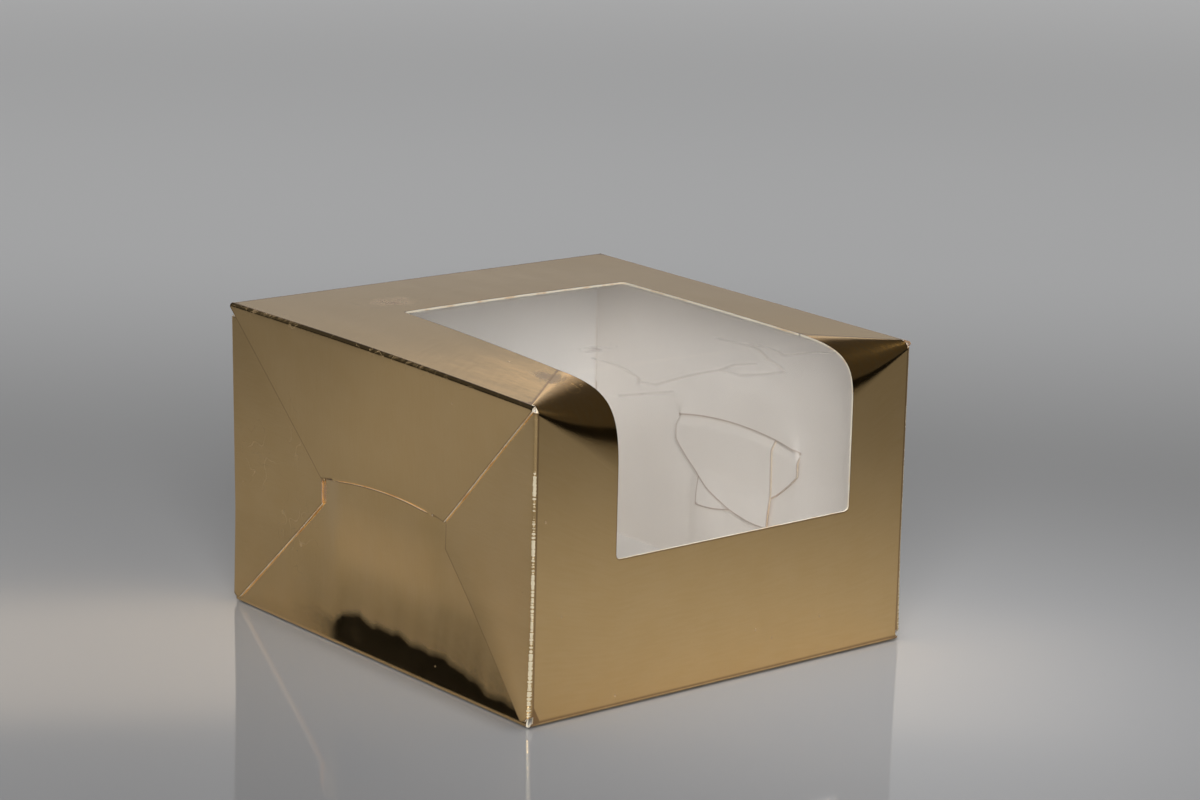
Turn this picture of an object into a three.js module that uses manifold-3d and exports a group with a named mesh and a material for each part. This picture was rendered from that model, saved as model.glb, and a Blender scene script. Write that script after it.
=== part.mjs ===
// Folding carton for small cakes: a glued sleeve of creased board with a film window that wraps from the top
// to the front, closed at both ends by four interlocking flaps.
// Millimetres, +Z up. The origin is on the table under the middle of the carton. +X runs from the left end to
// the right end, -Y is the front wall with the window, +Y the back wall.
import * as THREE from 'three';
import { mergeVertices } from 'three/addons/utils/BufferGeometryUtils.js';
import Module from 'manifold-3d';

const wasm = await Module();
wasm.setup();

// Sleeve
const BOX_WIDTH = 98; // over the outer faces of the two ends
const BOX_DEPTH = 102; // front wall to back wall
const BOX_HEIGHT = 64;
const BOARD = 0.4; // folding boxboard
const CREASE_RADIUS = 0.8; // outside radius of a folded crease
const SCORE_GAP = 0.1; // between two panels of the sleeve, along their score line
const HINGE_GAP = 0.3; // between a sleeve panel and the flap that turns beside it
const PLY_GAP = 0.3; // between two flaps that lie on each other

// Window
const WINDOW_MARGIN_LEFT = 21; // board left of the cut-out, on the front wall
const WINDOW_MARGIN_RIGHT = 16;
const WINDOW_MARGIN_BACK = 28; // board between the cut-out and the back wall, on the top
const WINDOW_SILL = 30.5; // height of the cut-out's lower edge on the front wall
const WINDOW_TAPER = 3; // how much the left edge steps in on the top
const WINDOW_CORNER = 1;
const BEND_LEFT = 12; // radius of the rolled top edge at the cut-out's left side
const BEND_RIGHT = 8; // and at its right side
const FILM = 0.2;
const GLUE = 0.1;
const FILM_LAP = 7; // film glued to the board round the cut-out

// Glue tab
const TAB_WIDTH = 12;
const TAB_BEVEL = 8;

// Flap closure, the same at both ends
const SLIT_HALF = 20; // half the length of the curved slit in the inner flap
const SLIT_END_HEIGHT = 33.3;
const SLIT_RISE = 2; // its middle stands this much higher than its ends
const SLIT_WIDTH = 0.3;
const LIP_REACH = 7; // how far from the slit its two lips bend
const LIP_RELAX = 6; // the upper lip straightens over this length above the necks
const NECK_HEIGHT = 7; // board above the slit that joins a tip to its flap
const INNER_FLAP_SIDE_GAP = 0.4;
const INNER_FLAP_TOP_GAP = 0.5;
const INNER_FLAP_CORNER_WIDTH = 7; // cut off its upper corners
const INNER_FLAP_CORNER_HEIGHT = 14;
const FLAP_RELIEF = 2.7; // the side flaps start this far below the top
const SIDE_FLAP_SLOPE = 2 / 3; // hidden upper edge, drop over run; these flaps turn at this share of the lid
const SIDE_FLAP_MOUTH = 28; // height at which the cut between flap and tip opens
const SIDE_FLAP_FOOT = 1.5; // height of the lowest corner
const SIDE_FLAP_CORNER = 3;
const SIDE_FLAP_LAP = 1; // the cut stands this far inside the end of the slit
const TIP_END_GAP = 0.6; // from the end of a tip to where the other tip steps over it
const TIP_DROP = 13.2; // lowest edge of a tip, below the mouth of its cut
const TONGUE_LENGTH = 8;
const TONGUE_TAPER = 3;
const LID_SIDE_GAP = 0.3;
const TIP_ROUND = 1; // how far the curve of a tip's lower edge bears down before its end
const BRIDGE_HALF = 1; // half the height of the whole board at each end of the slit

// The bends along the slit are laid out in equal steps from the point where its lips begin to part
const LIP_STEP = 1.15;
const LIP_STEPS = 4; // the lips part over this many
const TIP_STEPS = 2; // a tip's side edge lies this many in
const LAP_STEPS = 3; // the tips step over each other over this many
const DIP_STEPS = 3; // the lid flap starts to dip this many in, and dips over as many
const THREADED_PLIES = 3; // tongue, front tip and back tip, which lie between the lips

// Facets and tolerances
const EDGE_STEPS = 6; // facets of a quarter round
const BEAD_SIDES = 12; // facets of the rounded edge along a flap's crease
const NECK_ROWS = 4; // rows of points over the necks, and as many over the reach of the lips
const RELAX_ROW_COUNT = 2;
const MIDDLE_SPANS = 3; // half the spans between the two edges of the tongue
const TRIM = 1; // how far a cutter reaches past what it cuts
const WELD = 1e-5; // points closer than this are one point

// Derived levels and positions
const PLY_PITCH = BOARD + PLY_GAP;
const GLUED_FACE = BOARD + GLUE; // what is glued behind the board starts this deep
const LINER = GLUED_FACE + FILM; // board and film, from the outer face
const SIDE_PLY = 1;
const INNER_PLY = 2;
const INNERMOST_PLY = INNER_PLY + THREADED_PLIES;
const LIP_SPREAD = THREADED_PLIES / 2; // plies that each lip bends away from the flap's own ply
const LID_DIP = INNER_PLY - LIP_SPREAD + 1; // the lid dips to one ply behind the lower lip
const MIDDLE = BOX_DEPTH / 2;
const SLIT_START = MIDDLE - SLIT_HALF;
const CUT_EDGE = SLIT_START + SIDE_FLAP_LAP;
const LIP_START = CUT_EDGE + PLY_GAP;
const LIP_RAMP = LIP_STEPS * LIP_STEP;
const TIP_EDGE = LIP_START + TIP_STEPS * LIP_STEP;
const LAP_RAMP = LAP_STEPS * LIP_STEP;
const TIP_END = BOX_DEPTH - TIP_EDGE - LAP_RAMP - TIP_END_GAP;
const LID_DIP_LENGTH = DIP_STEPS * LIP_STEP;
const LID_DIP_START = LIP_START + LID_DIP_LENGTH;
const TONGUE_EDGE = LID_DIP_START + LID_DIP_LENGTH;

// How deep the middle of ply n lies behind the outer face of the end. Ply 0 is the lid flap, 1 the side
// flaps, 2 the inner flap; 3 to 5 are what has passed the slit.
const plyDepth = (n) => BOARD / 2 + n * PLY_PITCH;

// Creases of the flaps
const LID_HINGE_HEIGHT = BOX_HEIGHT - BOARD / 2;
const SIDE_HINGE_S = BOARD / 2;
const INNER_HINGE_DEPTH = plyDepth(INNER_PLY) + BOARD / 2;

const foil = () => new THREE.MeshStandardMaterial({ color: 0xa98d5f, roughness: 0.32, metalness: 0.85 });
const clearFilm = () => new THREE.MeshStandardMaterial({
  color: 0xe8ecec,
  roughness: 0.12,
  metalness: 0,
  transparent: true,
  opacity: 0.3,
});

// Closed solids from meshes, for cutting and joining
function toSolid(geometry) {
  const bare = geometry.clone();
  bare.deleteAttribute('normal');
  bare.deleteAttribute('uv');
  const welded = mergeVertices(bare, WELD);
  const mesh = new wasm.Mesh({
    numProp: 3,
    vertProperties: new Float32Array(welded.attributes.position.array),
    triVerts: new Uint32Array(welded.index.array),
  });
  return new wasm.Manifold(mesh);
}

function toGeometry(solid) {
  const mesh = solid.getMesh();
  const geometry = new THREE.BufferGeometry();
  geometry.setAttribute('position', new THREE.BufferAttribute(new Float32Array(mesh.vertProperties), 3));
  geometry.setIndex(new THREE.BufferAttribute(new Uint32Array(mesh.triVerts), 1));
  geometry.computeVertexNormals();
  return geometry;
}

function signedVolume(geometry) {
  const p = geometry.attributes.position;
  const index = geometry.index;
  const a = new THREE.Vector3();
  const b = new THREE.Vector3();
  const c = new THREE.Vector3();
  let total = 0;
  for (let i = 0; i < index.count; i += 3) {
    a.fromBufferAttribute(p, index.getX(i));
    b.fromBufferAttribute(p, index.getX(i + 1));
    c.fromBufferAttribute(p, index.getX(i + 2));
    total += a.dot(b.cross(c)) / 6;
  }
  return total;
}

function facingOut(geometry) {
  if (signedVolume(geometry) < 0) {
    const index = geometry.index.array;
    for (let i = 0; i < index.length; i += 3) {
      [index[i + 1], index[i + 2]] = [index[i + 2], index[i + 1]];
    }
    geometry.computeVertexNormals();
  }
  return geometry;
}

function remapped(geometry, place) {
  const indexed = geometry.index ? geometry.clone() : mergeVertices(geometry);
  const p = indexed.attributes.position;
  for (let i = 0; i < p.count; i += 1) {
    const [x, y, z] = place(p.getX(i), p.getY(i), p.getZ(i));
    p.setXYZ(i, x, y, z);
  }
  return facingOut(indexed);
}

// A closed sheet between two grids of points: outer[i][j] and inner[i][j]
function sheetGeometry(outer, inner) {
  const columns = outer.length;
  const rows = outer[0].length;
  const points = [...outer.flat(), ...inner.flat()].flat();
  const triangles = [];
  const at = (layer, i, j) => layer * columns * rows + i * rows + j;
  const quad = (a, b, c, d) => triangles.push(a, b, c, a, c, d);
  for (let i = 0; i + 1 < columns; i += 1) {
    for (let j = 0; j + 1 < rows; j += 1) {
      quad(at(0, i, j), at(0, i + 1, j), at(0, i + 1, j + 1), at(0, i, j + 1));
      quad(at(1, i, j), at(1, i, j + 1), at(1, i + 1, j + 1), at(1, i + 1, j));
    }
    quad(at(0, i, 0), at(1, i, 0), at(1, i + 1, 0), at(0, i + 1, 0));
    quad(at(0, i, rows - 1), at(0, i + 1, rows - 1), at(1, i + 1, rows - 1), at(1, i, rows - 1));
  }
  for (let j = 0; j + 1 < rows; j += 1) {
    quad(at(0, 0, j), at(0, 0, j + 1), at(1, 0, j + 1), at(1, 0, j));
    quad(at(0, columns - 1, j), at(1, columns - 1, j), at(1, columns - 1, j + 1), at(0, columns - 1, j + 1));
  }
  const geometry = new THREE.BufferGeometry();
  geometry.setAttribute('position', new THREE.Float32BufferAttribute(points, 3));
  geometry.setIndex(triangles);
  return facingOut(geometry);
}

function extruded(shape, depth) {
  return new THREE.ExtrudeGeometry(shape, { depth, bevelEnabled: false, curveSegments: EDGE_STEPS });
}

const outlineOf = (points) => new THREE.Shape(points.map(([x, y]) => new THREE.Vector2(x, y)));

// Points of a quarter round about (cx, cy), from one angle to the other, in degrees
function arcPoints(cx, cy, radius, from, to) {
  const points = [];
  for (let i = 0; i <= EDGE_STEPS; i += 1) {
    const angle = THREE.MathUtils.degToRad(from + ((to - from) * i) / EDGE_STEPS);
    points.push([cx + radius * Math.cos(angle), cy + radius * Math.sin(angle)]);
  }
  return points;
}

// Sleeve. Profiles are drawn in the plane of Y and Z and run along X.
const FRONT = -BOX_DEPTH / 2;
const BACK = BOX_DEPTH / 2;
const SIDE_WALL_HALF = BOX_WIDTH / 2 - plyDepth(SIDE_PLY) - BOARD / 2 - HINGE_GAP;
const TOP_HALF = BOX_WIDTH / 2 - BOARD - HINGE_GAP;
const FLOOR_HALF = BOX_WIDTH / 2 - plyDepth(INNER_PLY) - BOARD / 2 - HINGE_GAP;
const WINDOW_LEFT = -BOX_WIDTH / 2 + WINDOW_MARGIN_LEFT;
const WINDOW_RIGHT = BOX_WIDTH / 2 - WINDOW_MARGIN_RIGHT;
const WINDOW_BACK = BACK - WINDOW_MARGIN_BACK;

function wallFromProfile(profile, halfLength) {
  return remapped(extruded(outlineOf(profile), 2 * halfLength), (y, z, x) => [x - halfLength, y, z]);
}

function floorPanel() {
  const centreY = FRONT + CREASE_RADIUS;
  const foldEnd = BACK - GLUED_FACE - CREASE_RADIUS;
  const outer = [[foldEnd, 0], ...arcPoints(centreY, CREASE_RADIUS, CREASE_RADIUS, 270, 180)];
  const inner = arcPoints(centreY, CREASE_RADIUS, CREASE_RADIUS - BOARD, 180, 270);
  return wallFromProfile([...outer, ...inner, [foldEnd, BOARD]], FLOOR_HALF);
}

// The tab folds up from the floor and is glued to the inside of the back wall. Its ends are bevelled.
function glueTab() {
  const outerFace = BACK - GLUED_FACE;
  const centreY = outerFace - CREASE_RADIUS;
  const start = SCORE_GAP / 2;
  const profile = [
    [centreY + start, 0],
    ...arcPoints(centreY, CREASE_RADIUS, CREASE_RADIUS, 270, 360).slice(1),
    [outerFace, TAB_WIDTH],
    [outerFace - BOARD, TAB_WIDTH],
    ...arcPoints(centreY, CREASE_RADIUS, CREASE_RADIUS - BOARD, 360, 270).slice(0, -1),
    [centreY + start, BOARD],
  ];
  const strip = toSolid(wallFromProfile(profile, FLOOR_HALF));
  const bevel = outlineOf([
    [-FLOOR_HALF - TRIM, -TRIM],
    [FLOOR_HALF + TRIM, -TRIM],
    [FLOOR_HALF + TRIM, CREASE_RADIUS],
    [FLOOR_HALF - TAB_BEVEL, TAB_WIDTH + TRIM],
    [-FLOOR_HALF + TAB_BEVEL, TAB_WIDTH + TRIM],
    [-FLOOR_HALF - TRIM, CREASE_RADIUS],
  ]);
  const trim = remapped(extruded(bevel, TAB_WIDTH), (x, z, y) => [x, BACK - y, z]);
  return toGeometry(strip.intersect(toSolid(trim)));
}

function backPanel() {
  const centreY = BACK - CREASE_RADIUS;
  const centreZ = BOX_HEIGHT - CREASE_RADIUS;
  const profile = [
    [BACK, SCORE_GAP],
    ...arcPoints(centreY, centreZ, CREASE_RADIUS, 0, 90),
    ...arcPoints(centreY, centreZ, CREASE_RADIUS - BOARD, 90, 0),
    [BACK - BOARD, SCORE_GAP],
  ];
  return wallFromProfile(profile, SIDE_WALL_HALF);
}

// The top edge over the front is a crease at both ends and opens into a rolled bend at the window
const bendStations = [
  [-BOX_WIDTH / 2, CREASE_RADIUS],
  [WINDOW_LEFT, BEND_LEFT],
  [WINDOW_RIGHT, BEND_RIGHT],
  [BOX_WIDTH / 2, CREASE_RADIUS],
];

function bendRadius(x) {
  const i = bendStations.findIndex(([station]) => x <= station);
  const [x1, r1] = bendStations[Math.max(i, 1)];
  const [x0, r0] = bendStations[Math.max(i, 1) - 1];
  return r0 + ((r1 - r0) * (x - x0)) / (x1 - x0);
}

// Points of the wrapped sheet at one station, from the top backwards edge down to the front lower edge
function wrapPoints(x, inset, topEdge, frontEdge) {
  const radius = bendRadius(x);
  const bend = arcPoints(FRONT + radius, BOX_HEIGHT - radius, radius - inset, 90, 180);
  const line = [...bend, [FRONT + inset, frontEdge]];
  if (topEdge !== null) {
    line.unshift([topEdge, BOX_HEIGHT - inset]);
  }
  return line.map(([y, z]) => [x, y, z]);
}

function wrappedSheet(stations, inset, thickness, topEdge, frontEdge) {
  const outer = stations.map((x) => wrapPoints(x, inset, topEdge, frontEdge));
  const inner = stations.map((x) => wrapPoints(x, inset + thickness, topEdge, frontEdge));
  return sheetGeometry(outer, inner);
}

function frontPanel() {
  const stations = [-SIDE_WALL_HALF, WINDOW_LEFT, WINDOW_RIGHT, SIDE_WALL_HALF];
  const wall = toSolid(wrappedSheet(stations, 0, BOARD, null, CREASE_RADIUS + SCORE_GAP));
  const opening = new THREE.Shape();
  opening.moveTo(WINDOW_LEFT, BOX_HEIGHT + TRIM);
  opening.lineTo(WINDOW_LEFT, WINDOW_SILL + WINDOW_CORNER);
  opening.quadraticCurveTo(WINDOW_LEFT, WINDOW_SILL, WINDOW_LEFT + WINDOW_CORNER, WINDOW_SILL);
  opening.lineTo(WINDOW_RIGHT - WINDOW_CORNER, WINDOW_SILL);
  opening.quadraticCurveTo(WINDOW_RIGHT, WINDOW_SILL, WINDOW_RIGHT, WINDOW_SILL + WINDOW_CORNER);
  opening.lineTo(WINDOW_RIGHT, BOX_HEIGHT + TRIM);
  const reach = Math.max(BEND_LEFT, BEND_RIGHT) + 2 * TRIM;
  const cutter = remapped(extruded(opening, reach), (x, z, y) => [x, FRONT - TRIM + y, z]);
  return toGeometry(wall.subtract(toSolid(cutter)));
}

function topPanel() {
  const edgeAt = (x) => FRONT + bendRadius(x) + SCORE_GAP;
  const back = BACK - CREASE_RADIUS - SCORE_GAP;
  const backLeft = WINDOW_LEFT + WINDOW_TAPER;
  const outline = new THREE.Shape();
  outline.moveTo(-TOP_HALF, edgeAt(-TOP_HALF));
  outline.lineTo(WINDOW_LEFT, edgeAt(WINDOW_LEFT));
  outline.lineTo(backLeft, WINDOW_BACK - WINDOW_CORNER);
  outline.quadraticCurveTo(backLeft, WINDOW_BACK, backLeft + WINDOW_CORNER, WINDOW_BACK);
  outline.lineTo(WINDOW_RIGHT - WINDOW_CORNER, WINDOW_BACK);
  outline.quadraticCurveTo(WINDOW_RIGHT, WINDOW_BACK, WINDOW_RIGHT, WINDOW_BACK - WINDOW_CORNER);
  outline.lineTo(WINDOW_RIGHT, edgeAt(WINDOW_RIGHT));
  outline.lineTo(TOP_HALF, edgeAt(TOP_HALF));
  outline.lineTo(TOP_HALF, back);
  outline.lineTo(-TOP_HALF, back);
  return remapped(extruded(outline, BOARD), (x, y, z) => [x, y, BOX_HEIGHT - BOARD + z]);
}

function windowFilm() {
  const left = WINDOW_LEFT - FILM_LAP;
  const right = WINDOW_RIGHT + FILM_LAP;
  const stations = [left, WINDOW_LEFT, WINDOW_RIGHT, right];
  return wrappedSheet(stations, GLUED_FACE, FILM, WINDOW_BACK + FILM_LAP, WINDOW_SILL - FILM_LAP);
}

// End closure. A flap is drawn by how deep it lies behind the outer face, by its distance s from the back
// wall's outer face, and by its height z. The slit is an arc in s and z, and v is the height above it.
function slitHeight(s) {
  const off = Math.min(Math.abs(s - MIDDLE), SLIT_HALF);
  const radius = (SLIT_HALF ** 2 + SLIT_RISE ** 2) / (2 * SLIT_RISE);
  return SLIT_END_HEIGHT + SLIT_RISE - radius + Math.sqrt(radius ** 2 - off ** 2);
}

const rising = (x) => THREE.MathUtils.smoothstep(x, 0, 1);
const falling = (x) => 1 - rising(x);

// How far the lips of the slit are parted, 0 at its ends and 1 over most of its length
const parted = (s) => rising((s - LIP_START) / LIP_RAMP) * rising((BOX_DEPTH - LIP_START - s) / LIP_RAMP);

// How far the lid flap has dipped into the slit
function dipped(s) {
  const fromEnd = Math.min(s, BOX_DEPTH - s) - LID_DIP_START;
  return rising(fromEnd / LID_DIP_LENGTH);
}

// How far the front tip has stepped over the back tip, measured from the front tip's own side
const lapped = (s) => rising((s - TIP_EDGE) / LAP_RAMP);

const lowerLip = (s, v) => INNER_PLY - LIP_SPREAD * parted(s) * falling(-v / LIP_REACH);

function upperLip(s, v) {
  const overNecks = parted(s) * falling((v - NECK_HEIGHT) / LIP_RELAX);
  return INNER_PLY + overNecks + LIP_SPREAD * parted(s) * falling(v / NECK_HEIGHT);
}

const lidPly = (s, v) => LID_DIP * dipped(s) * falling(v / NECK_HEIGHT);
const tonguePly = (s, v) => lowerLip(s, v) + 1;

function backTipPly(s, v) {
  const inside = rising(-v / LIP_REACH);
  return (upperLip(s, Math.max(v, 0)) - 1) * (1 - inside) + INNERMOST_PLY * inside;
}

const frontTipPly = (s, v) => backTipPly(s, v) - lapped(s);

// Stations along s that every bent ply shares, so that neighbours keep their gap between grid points too
const STATIONS = (() => {
  const near = [CUT_EDGE + SCORE_GAP];
  for (let s = LIP_START; s < TONGUE_EDGE + LIP_STEP / 2; s += LIP_STEP) {
    near.push(s);
  }
  const middle = [];
  for (let i = 1 - MIDDLE_SPANS; i < MIDDLE_SPANS; i += 1) {
    middle.push(MIDDLE + (i * (MIDDLE - TONGUE_EDGE)) / MIDDLE_SPANS);
  }
  const mirrored = near.map((s) => BOX_DEPTH - s).reverse();
  return [...near, ...middle, ...mirrored];
})();

// Rows at equal steps over a length, without the one at its start
const rowsOver = (count, length) => Array.from({ length: count }, (_, i) => ((i + 1) * length) / count);

const UPPER_ROWS = rowsOver(NECK_ROWS, NECK_HEIGHT);
const RELAX_ROWS = rowsOver(RELAX_ROW_COUNT, LIP_RELAX).map((v) => NECK_HEIGHT + v);
const LOWER_ROWS = rowsOver(NECK_ROWS, -LIP_REACH).reverse();

// A bent ply over the given stations. Rows are heights above the slit; low and high are plain heights.
function bentPly(stations, rows, plyAt, { low = null, high = null } = {}) {
  const layer = (shift) => stations.map((s) => {
    const slit = slitHeight(s);
    const line = rows.map((v) => [plyDepth(plyAt(s, v)) + shift, s, slit + v]);
    if (low !== null) {
      line.unshift([plyDepth(plyAt(s, low - slit)) + shift, s, low]);
    }
    if (high !== null) {
      line.push([plyDepth(plyAt(s, high - slit)) + shift, s, high]);
    }
    return line;
  });
  return toSolid(sheetGeometry(layer(-BOARD / 2), layer(BOARD / 2)));
}

// A flat block of board in ply n, between two stations and two heights
function flatPly(n, s0, s1, z0, z1) {
  const block = new THREE.BoxGeometry(BOARD, s1 - s0, z1 - z0);
  return toSolid(remapped(block, (w, s, z) => [w + plyDepth(n), s + (s0 + s1) / 2, z + (z0 + z1) / 2]));
}

// A cutter through all plies with the given outline in s and z
function throughAll(shape) {
  const depth = plyDepth(INNERMOST_PLY) + 2 * PLY_PITCH;
  return toSolid(remapped(extruded(shape, depth), (s, z, w) => [w - PLY_PITCH, s, z]));
}

// The rounded edge of a flap along its crease
function creaseBead(depth, length, place) {
  const bead = new THREE.CylinderGeometry(BOARD / 2, BOARD / 2, length, BEAD_SIDES);
  return toSolid(remapped(bead, (x, y, z) => place(depth + x, y, z)));
}

function innerFlap() {
  const side = LINER + INNER_FLAP_SIDE_GAP;
  const top = BOX_HEIGHT - BOARD - INNER_FLAP_TOP_GAP;
  const stations = [side, SLIT_START, ...STATIONS, BOX_DEPTH - SLIT_START, BOX_DEPTH - side];
  const halfSlit = SLIT_WIDTH / 2;
  const below = bentPly(stations, [...LOWER_ROWS, -halfSlit], lowerLip, { low: 0 });
  const above = bentPly(stations, [halfSlit, ...UPPER_ROWS, ...RELAX_ROWS], upperLip, { high: top });
  const bridgeLow = SLIT_END_HEIGHT - BRIDGE_HALF;
  const bridgeHigh = SLIT_END_HEIGHT + BRIDGE_HALF;
  const backBridge = flatPly(INNER_PLY, side, SLIT_START, bridgeLow, bridgeHigh);
  const frontBridge = flatPly(INNER_PLY, BOX_DEPTH - SLIT_START, BOX_DEPTH - side, bridgeLow, bridgeHigh);
  const outline = outlineOf([
    [side, -TRIM],
    [BOX_DEPTH - side, -TRIM],
    [BOX_DEPTH - side, top - INNER_FLAP_CORNER_HEIGHT],
    [BOX_DEPTH - side - INNER_FLAP_CORNER_WIDTH, top + TRIM],
    [side + INNER_FLAP_CORNER_WIDTH, top + TRIM],
    [side, top - INNER_FLAP_CORNER_HEIGHT],
  ]);
  return below.add(above).add(backBridge).add(frontBridge).intersect(throughAll(outline));
}

function sideFlap() {
  const shoulder = FLAP_RELIEF / SIDE_FLAP_SLOPE;
  const top = BOX_HEIGHT - FLAP_RELIEF;
  const outline = new THREE.Shape();
  outline.moveTo(BOARD / 2, top);
  outline.lineTo(shoulder, top);
  outline.lineTo(CUT_EDGE, BOX_HEIGHT - SIDE_FLAP_SLOPE * CUT_EDGE);
  outline.lineTo(CUT_EDGE, SIDE_FLAP_MOUTH);
  outline.lineTo(SIDE_FLAP_CORNER, SIDE_FLAP_FOOT);
  outline.quadraticCurveTo(BOARD, SIDE_FLAP_FOOT, BOARD / 2, SIDE_FLAP_FOOT + SIDE_FLAP_CORNER);
  const length = top - SIDE_FLAP_FOOT - SIDE_FLAP_CORNER;
  const centre = top - length / 2;
  const bead = creaseBead(plyDepth(SIDE_PLY), length, (w, z, s) => [w, s + SIDE_HINGE_S, z + centre]);
  return flatPly(SIDE_PLY, 0, BOX_DEPTH, 0, BOX_HEIGHT).intersect(throughAll(outline)).add(bead);
}

function tip(plyAt) {
  const rows = [...LOWER_ROWS, 0, ...UPPER_ROWS];
  const stations = [...STATIONS.filter((s) => s > CUT_EDGE && s < TIP_END), TIP_END];
  const rootLow = slitHeight(TIP_EDGE) + 2 * SLIT_WIDTH;
  const low = SIDE_FLAP_MOUTH - TIP_DROP;
  const sheet = bentPly(stations, rows, plyAt, { low: low - TRIM });
  const outline = new THREE.Shape();
  outline.moveTo(CUT_EDGE, BOX_HEIGHT);
  outline.lineTo(CUT_EDGE, rootLow);
  outline.lineTo(TIP_EDGE, rootLow);
  outline.lineTo(TIP_EDGE, SIDE_FLAP_MOUTH);
  outline.quadraticCurveTo(TIP_EDGE + TIP_DROP / 2, low + TIP_ROUND, TIP_END, low);
  outline.lineTo(TIP_END + TRIM, low);
  outline.lineTo(TIP_END + TRIM, BOX_HEIGHT);
  return sheet.intersect(throughAll(outline));
}

function lidFlap() {
  const stations = [LID_SIDE_GAP, ...STATIONS, BOX_DEPTH - LID_SIDE_GAP];
  const sheet = bentPly(stations, [SLIT_WIDTH / 2, ...UPPER_ROWS], lidPly, { high: LID_HINGE_HEIGHT });
  const length = BOX_DEPTH - 2 * LID_SIDE_GAP;
  const bead = creaseBead(plyDepth(0), length, (w, s, z) => [w, s + MIDDLE, z + LID_HINGE_HEIGHT]);
  const corner = slitHeight(CUT_EDGE);
  const outline = outlineOf([
    [LID_SIDE_GAP, BOX_HEIGHT],
    [LID_SIDE_GAP, LID_HINGE_HEIGHT],
    [CUT_EDGE, corner],
    [CUT_EDGE, 0],
    [BOX_DEPTH - CUT_EDGE, 0],
    [BOX_DEPTH - CUT_EDGE, corner],
    [BOX_DEPTH - LID_SIDE_GAP, LID_HINGE_HEIGHT],
    [BOX_DEPTH - LID_SIDE_GAP, BOX_HEIGHT],
  ]);
  return sheet.intersect(throughAll(outline)).add(bead);
}

function lidTongue() {
  const start = TONGUE_EDGE;
  const end = BOX_DEPTH - TONGUE_EDGE;
  const stations = STATIONS.filter((s) => s >= start - SCORE_GAP && s <= end + SCORE_GAP);
  const rows = [-TONGUE_LENGTH, ...LOWER_ROWS.filter((v) => v > -TONGUE_LENGTH), -SLIT_WIDTH / 2];
  const sheet = bentPly(stations, rows, tonguePly);
  const low = SLIT_END_HEIGHT - TONGUE_LENGTH - TRIM;
  const outline = outlineOf([
    [start + TONGUE_TAPER, low],
    [end - TONGUE_TAPER, low],
    [end, SLIT_END_HEIGHT],
    [end, BOX_HEIGHT],
    [start, BOX_HEIGHT],
    [start, SLIT_END_HEIGHT],
  ]);
  return sheet.intersect(throughAll(outline));
}

// Assembly. Each flap is hung at its crease, so its mesh turns about its own position.
function named(name, geometry, material, position = [0, 0, 0]) {
  const placed = geometry.clone().translate(-position[0], -position[1], -position[2]);
  const mesh = new THREE.Mesh(placed, material);
  mesh.name = name;
  mesh.position.set(...position);
  return mesh;
}

function sleeve() {
  const group = new THREE.Group();
  group.add(named('floor_panel', floorPanel(), foil()));
  group.add(named('front_panel', frontPanel(), foil()));
  group.add(named('top_panel', topPanel(), foil()));
  group.add(named('back_panel', backPanel(), foil()));
  group.add(named('glue_tab', glueTab(), foil()));
  group.add(named('window_film', windowFilm(), clearFilm()));
  return group;
}

// One end: side is -1 for the left end and 1 for the right end
function endClosure(prefix, side) {
  const group = new THREE.Group();
  group.position.x = (side * BOX_WIDTH) / 2;
  const fromBack = (w, s, z) => [-side * w, BACK - s, z];
  const fromFront = (w, s, z) => [-side * w, FRONT + s, z];
  const topCrease = [-side * plyDepth(0), 0, LID_HINGE_HEIGHT];
  const backCrease = fromBack(plyDepth(SIDE_PLY), SIDE_HINGE_S, 0);
  const frontCrease = fromFront(plyDepth(SIDE_PLY), SIDE_HINGE_S, 0);
  const floorCrease = [-side * INNER_HINGE_DEPTH, 0, BOARD];
  const pieces = [
    ['inner_flap', innerFlap(), fromBack, floorCrease],
    ['back_side_flap', sideFlap(), fromBack, backCrease],
    ['back_tip', tip(backTipPly), fromBack, backCrease],
    ['front_side_flap', sideFlap(), fromFront, frontCrease],
    ['front_tip', tip(frontTipPly), fromFront, frontCrease],
    ['lid_flap', lidFlap(), fromBack, topCrease],
    ['lid_tongue', lidTongue(), fromBack, topCrease],
  ];
  for (const [name, solid, place, crease] of pieces) {
    const geometry = remapped(toGeometry(solid), place);
    group.add(named(`${prefix}_${name}`, geometry, foil(), crease));
  }
  return group;
}

const carton = new THREE.Group();
carton.add(sleeve());
carton.add(endClosure('left', -1));
carton.add(endClosure('right', 1));

export default carton;
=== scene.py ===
"""Gold window carton for small cakes: the looks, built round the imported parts.

Each panel and flap is cut flat from the board, as the real blank is, and then folded into place, so the
foil, the white inside and the cut edges are faces of one closed sheet. Sizes are in millimetres until a mesh
is written. +X runs from the left end to the right end, -Y is the front wall, +Z is up, and the origin is on
the floor under the middle.
"""

import logging
import math
from collections.abc import Callable, Sequence
from dataclasses import dataclass, field
from enum import Enum, IntEnum
from typing import ClassVar

import bmesh
import bpy
import numpy as np
from mathutils import Matrix, Vector
from mathutils.geometry import delaunay_2d_cdt

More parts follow.
